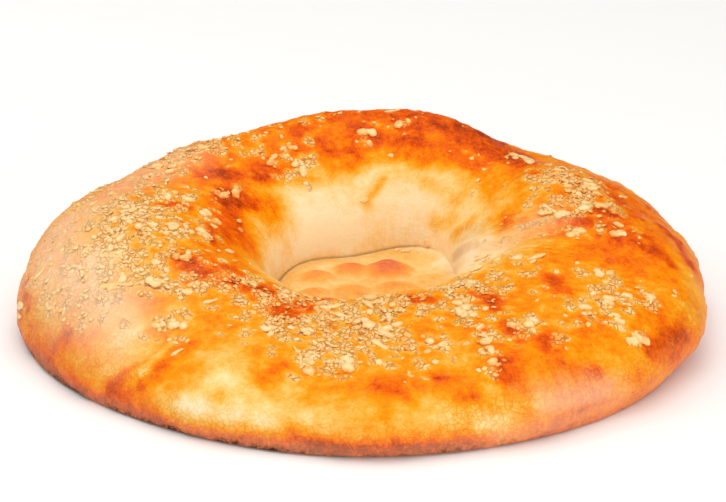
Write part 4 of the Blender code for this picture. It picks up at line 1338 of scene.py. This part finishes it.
# The garlic slivers and flakes. Thin lengths and flat slices of clove, baked on where they
# fell. Each is its width, and hour angle and station of its two ends.
SLIVERS = (
    (0.0016, 195, 2.59, 196, 2.70),
    (0.0014, 181, 2.41, 180, 2.36),
    (0.0014, 176, 2.34, 174, 2.30),
    (0.0018, 200, 2.40, 198, 2.31),
    (0.0014, 274, 2.10, 276, 2.21),
    (0.0018, 236, 1.75, 242, 1.78),
    (0.0038, 42, 2.06, 32, 1.97),
    (0.0018, 324, 1.96, 330, 2.00),
    (0.0014, 341, 1.60, 333, 1.75),
    (0.0012, 343, 1.35, 344, 1.46),
    (0.0014, 84, 1.99, 79, 2.04),
    (0.0016, 1, 1.82, -4, 1.92),
    (0.0030, 12, 2.10, 12, 2.19),
    (0.0014, 331, 2.44, 328, 2.55),
    (0.0014, 256, 2.29, 259, 2.42),
    (0.0018, 259, 1.98, 264, 1.89),
    (0.0014, 231, 2.19, 233, 2.13),
    (0.0018, 216, 2.26, 220, 2.20),
    (0.0016, 212, 2.38, 216, 2.31),
    (0.0014, 236, 2.47, 235, 2.56),
    (0.0018, 193, 2.98, 197, 2.93),
    (0.0030, 193, 2.93, 197, 2.86),
    (0.0028, 247, 2.21, 251, 2.20),
    (0.0030, 256, 2.16, 258, 2.21),
    (0.0035, 266, 2.36, 268, 2.40),
    (0.0038, 270, 2.07, 272, 2.15),
    (0.0032, 274, 2.12, 277, 2.20),
    (0.0028, 270, 1.88, 273, 2.01),
    (0.0024, 262, 2.01, 267, 2.05),
    (0.0026, 272, 2.22, 275, 2.28),
    (0.0034, 294, 2.12, 294, 2.17),
    (0.0028, 296, 2.14, 296, 2.19),
    (0.0030, 313, 1.71, 318, 1.74),
    (0.0034, 199, 1.97, 194, 1.89),
    (0.0032, 181, 1.74, 178, 1.67),
    (0.0044, 192, 1.76, 197, 1.71),
    (0.0038, 216, 2.24, 220, 2.23),
    (0.0036, 211, 2.44, 214, 2.37),
    (0.0042, 9, 2.08, 13, 2.21),
    (0.0036, 357, 2.02, 359, 2.09),
    (0.0036, 0, 2.12, 3, 2.20),
    (0.0026, 358, 1.78, 357, 1.88),
    (0.0036, 342, 2.00, 347, 2.06),
    (0.0026, 347, 2.22, 348, 2.27),
    (0.0036, 90, 1.76, 85, 1.73),
    (0.0018, 92, 1.30, 87, 1.31),
    (0.0026, 206, 1.66, 203, 1.57),
    (0.0026, 331, 2.20, 330, 2.26),
    (0.0028, 318, 2.50, 319, 2.56),
    (0.0032, 316, 2.67, 318, 2.70),
    (0.0024, 66, 0.90, 61, 0.93),
    (0.0028, 55, 1.00, 52, 1.06),
    (0.0018, 71, 0.93, 68, 0.95),
)
SLIVER_RINGS, SLIVER_SEGMENTS = 12, 8
SLIVER_TOAST, SLIVER_TOAST_SEED = (0.0, 0.4), 8
SLIVER_LIFT = 0.0002
SLIVER_BEND = 0.10
SLIVER_WAVER, SLIVER_WAVES = 0.22, 4
SLIVER_HALF_THICKNESS, SLIVER_THICKNESS_SHARE = 0.0003, 0.1


def sliver_tube(ends, normal, width, seed):
    """One sliver: a flat tube along the crust between two ends, whose width shrinks to its
    ends by a root of one less the cube of the way, and whose middle wavers."""
    way = ends[1] - ends[0]
    side = np.cross(normal, way / np.linalg.norm(way))
    at = np.linspace(-1, 1, SLIVER_RINGS + 1)[:, None]
    bend = np.random.default_rng(seed).normal(0, SLIVER_BEND) * np.linalg.norm(way) * (1 - at**2)
    middle = ends.mean(axis=0) + at / 2 * way + bend * side + normal * SLIVER_LIFT
    girth = np.clip(1 - np.abs(at) ** 3, 0, 1) ** 0.5 * (1 + SLIVER_WAVER * np.sin(at * SLIVER_WAVES + seed))
    turn = np.arange(SLIVER_SEGMENTS)[:, None] * math.tau / SLIVER_SEGMENTS
    thickness = SLIVER_HALF_THICKNESS + SLIVER_THICKNESS_SHARE * width
    ring = np.cos(turn) * side * width / 2 + np.sin(turn) * normal * thickness
    body = middle[1:-1, None] + girth[1:-1, None] * ring
    return np.concatenate([middle[:1], body.reshape(-1, 3), middle[-1:]])


places = np.array([path for _, *path in SLIVERS], float).reshape(-1, 2)
ends = crust_surface(np.radians(places[:, 0]), places[:, 1]).reshape(-1, 2, 3)
normals = outward(np.radians(places[:, 0]), places[:, 1]).reshape(-1, 2, 3).mean(axis=1)
normals /= np.linalg.norm(normals, axis=-1, keepdims=True)
tubes = np.stack([sliver_tube(ends[n], normals[n], SLIVERS[n][0], n) for n in range(len(SLIVERS))])
sliver_faces = repeated(grid_faces(SLIVER_RINGS - 1, SLIVER_SEGMENTS), tubes.shape[1], len(tubes))
toasts = np.random.default_rng(SLIVER_TOAST_SEED).uniform(*SLIVER_TOAST, len(tubes))
toasts = np.repeat(toasts, tubes.shape[1])
slivers = make_piece("garlic_slivers", tubes.reshape(-1, 3), sliver_faces, garlic_finish, {"toast": toasts})
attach(slivers, "root")


# The table and the light. A plain pale table, and a room whose ceiling is brighter than its
# walls. Soft square lamps stand overhead, at the left, in front, and low at the right.
TABLE_CORNERS = ((-4, -4, 0), (4, -4, 0), (4, 6, 0), (-4, 6, 0))
LAMPS = (
    ("overhead", (-0.10, 0.25, 1.10), (0, 0, 0), 1.0, 3.6),
    ("left", (-1.00, 0.10, 0.60), (0, 0, 0), 0.8, 2.8),
    ("front", (0.20, -1.50, 0.50), (0, 0, 0.02), 1.0, 8.5),
    ("low_right", (0.95, -0.95, 0.20), (0.08, -0.06, 0.01), 0.6, 4.2),
)
TABLE_COLOUR, TABLE_ROUGHNESS = "#F7F5F2", 0.7
CEILING_SPAN, CEILING_LIGHT = (0.40, 0.85), (0.12, 1.15)
table_finish = new_finish("pale_table")
paint = add_node(
    table_finish, "BsdfPrincipled", {"Base Color": linear(TABLE_COLOUR), "Roughness": TABLE_ROUGHNESS}
)
add_node(table_finish, "OutputMaterial", {"Surface": paint})
table_mesh = bpy.data.meshes.new("table")
table_mesh.from_pydata(TABLE_CORNERS, [], [(0, 1, 2, 3)])
table_mesh.materials.append(table_finish)
table = bpy.data.objects.new("table", table_mesh)
bpy.context.scene.collection.objects.link(table)

world = bpy.data.worlds.new("pale_room")
world.use_nodes = True
direction = add_node(world, "SeparateXYZ", (add_node(world, "TexCoord").outputs["Generated"],))
upward = direction.outputs["Z"]
ceiling = add_node(
    world, "MapRange", (upward, *CEILING_SPAN, *CEILING_LIGHT), interpolation_type="SMOOTHSTEP"
)
background = world.node_tree.nodes["Background"]
background.inputs["Color"].default_value = linear("#FFFFFF")
world.node_tree.links.new(ceiling.outputs["Result"], background.inputs["Strength"])
bpy.context.scene.world = world

for name, place, aim, width, power in LAMPS:
    light = bpy.data.lights.new(name, "AREA")
    light.size = width
    light.energy = power
    lamp = bpy.data.objects.new(name, light)
    lamp.location = place
    x, y, z = np.subtract(aim, place)
    lamp.rotation_euler = (math.atan2(math.hypot(x, y), -z), 0, math.atan2(y, x) - math.pi / 2)
    bpy.context.scene.collection.objects.link(lamp)

# The camera. It looks down on the loaf from the front, from about 21 degrees above the table
# and 0.83 m away.
CAMERA_DISTANCE = 0.83
CAMERA_ELEVATION = math.radians(21.5)
CAMERA_TILT = math.radians(19.99)
CAMERA_LENS, CAMERA_SENSOR = 114.6, 36.0
camera_data = bpy.data.cameras.new("camera")
camera_data.lens = CAMERA_LENS
camera_data.sensor_width = CAMERA_SENSOR
camera = bpy.data.objects.new("camera", camera_data)
bpy.context.scene.collection.objects.link(camera)
camera.location = (
    -MIDDLE_X,
    -MIDDLE_Y - CAMERA_DISTANCE * math.cos(CAMERA_ELEVATION),
    CAMERA_DISTANCE * math.sin(CAMERA_ELEVATION),
)
camera.rotation_euler = (math.pi / 2 - CAMERA_TILT, 0, 0)
bpy.context.scene.camera = camera
bpy.context.scene.view_settings.view_transform = "Standard"
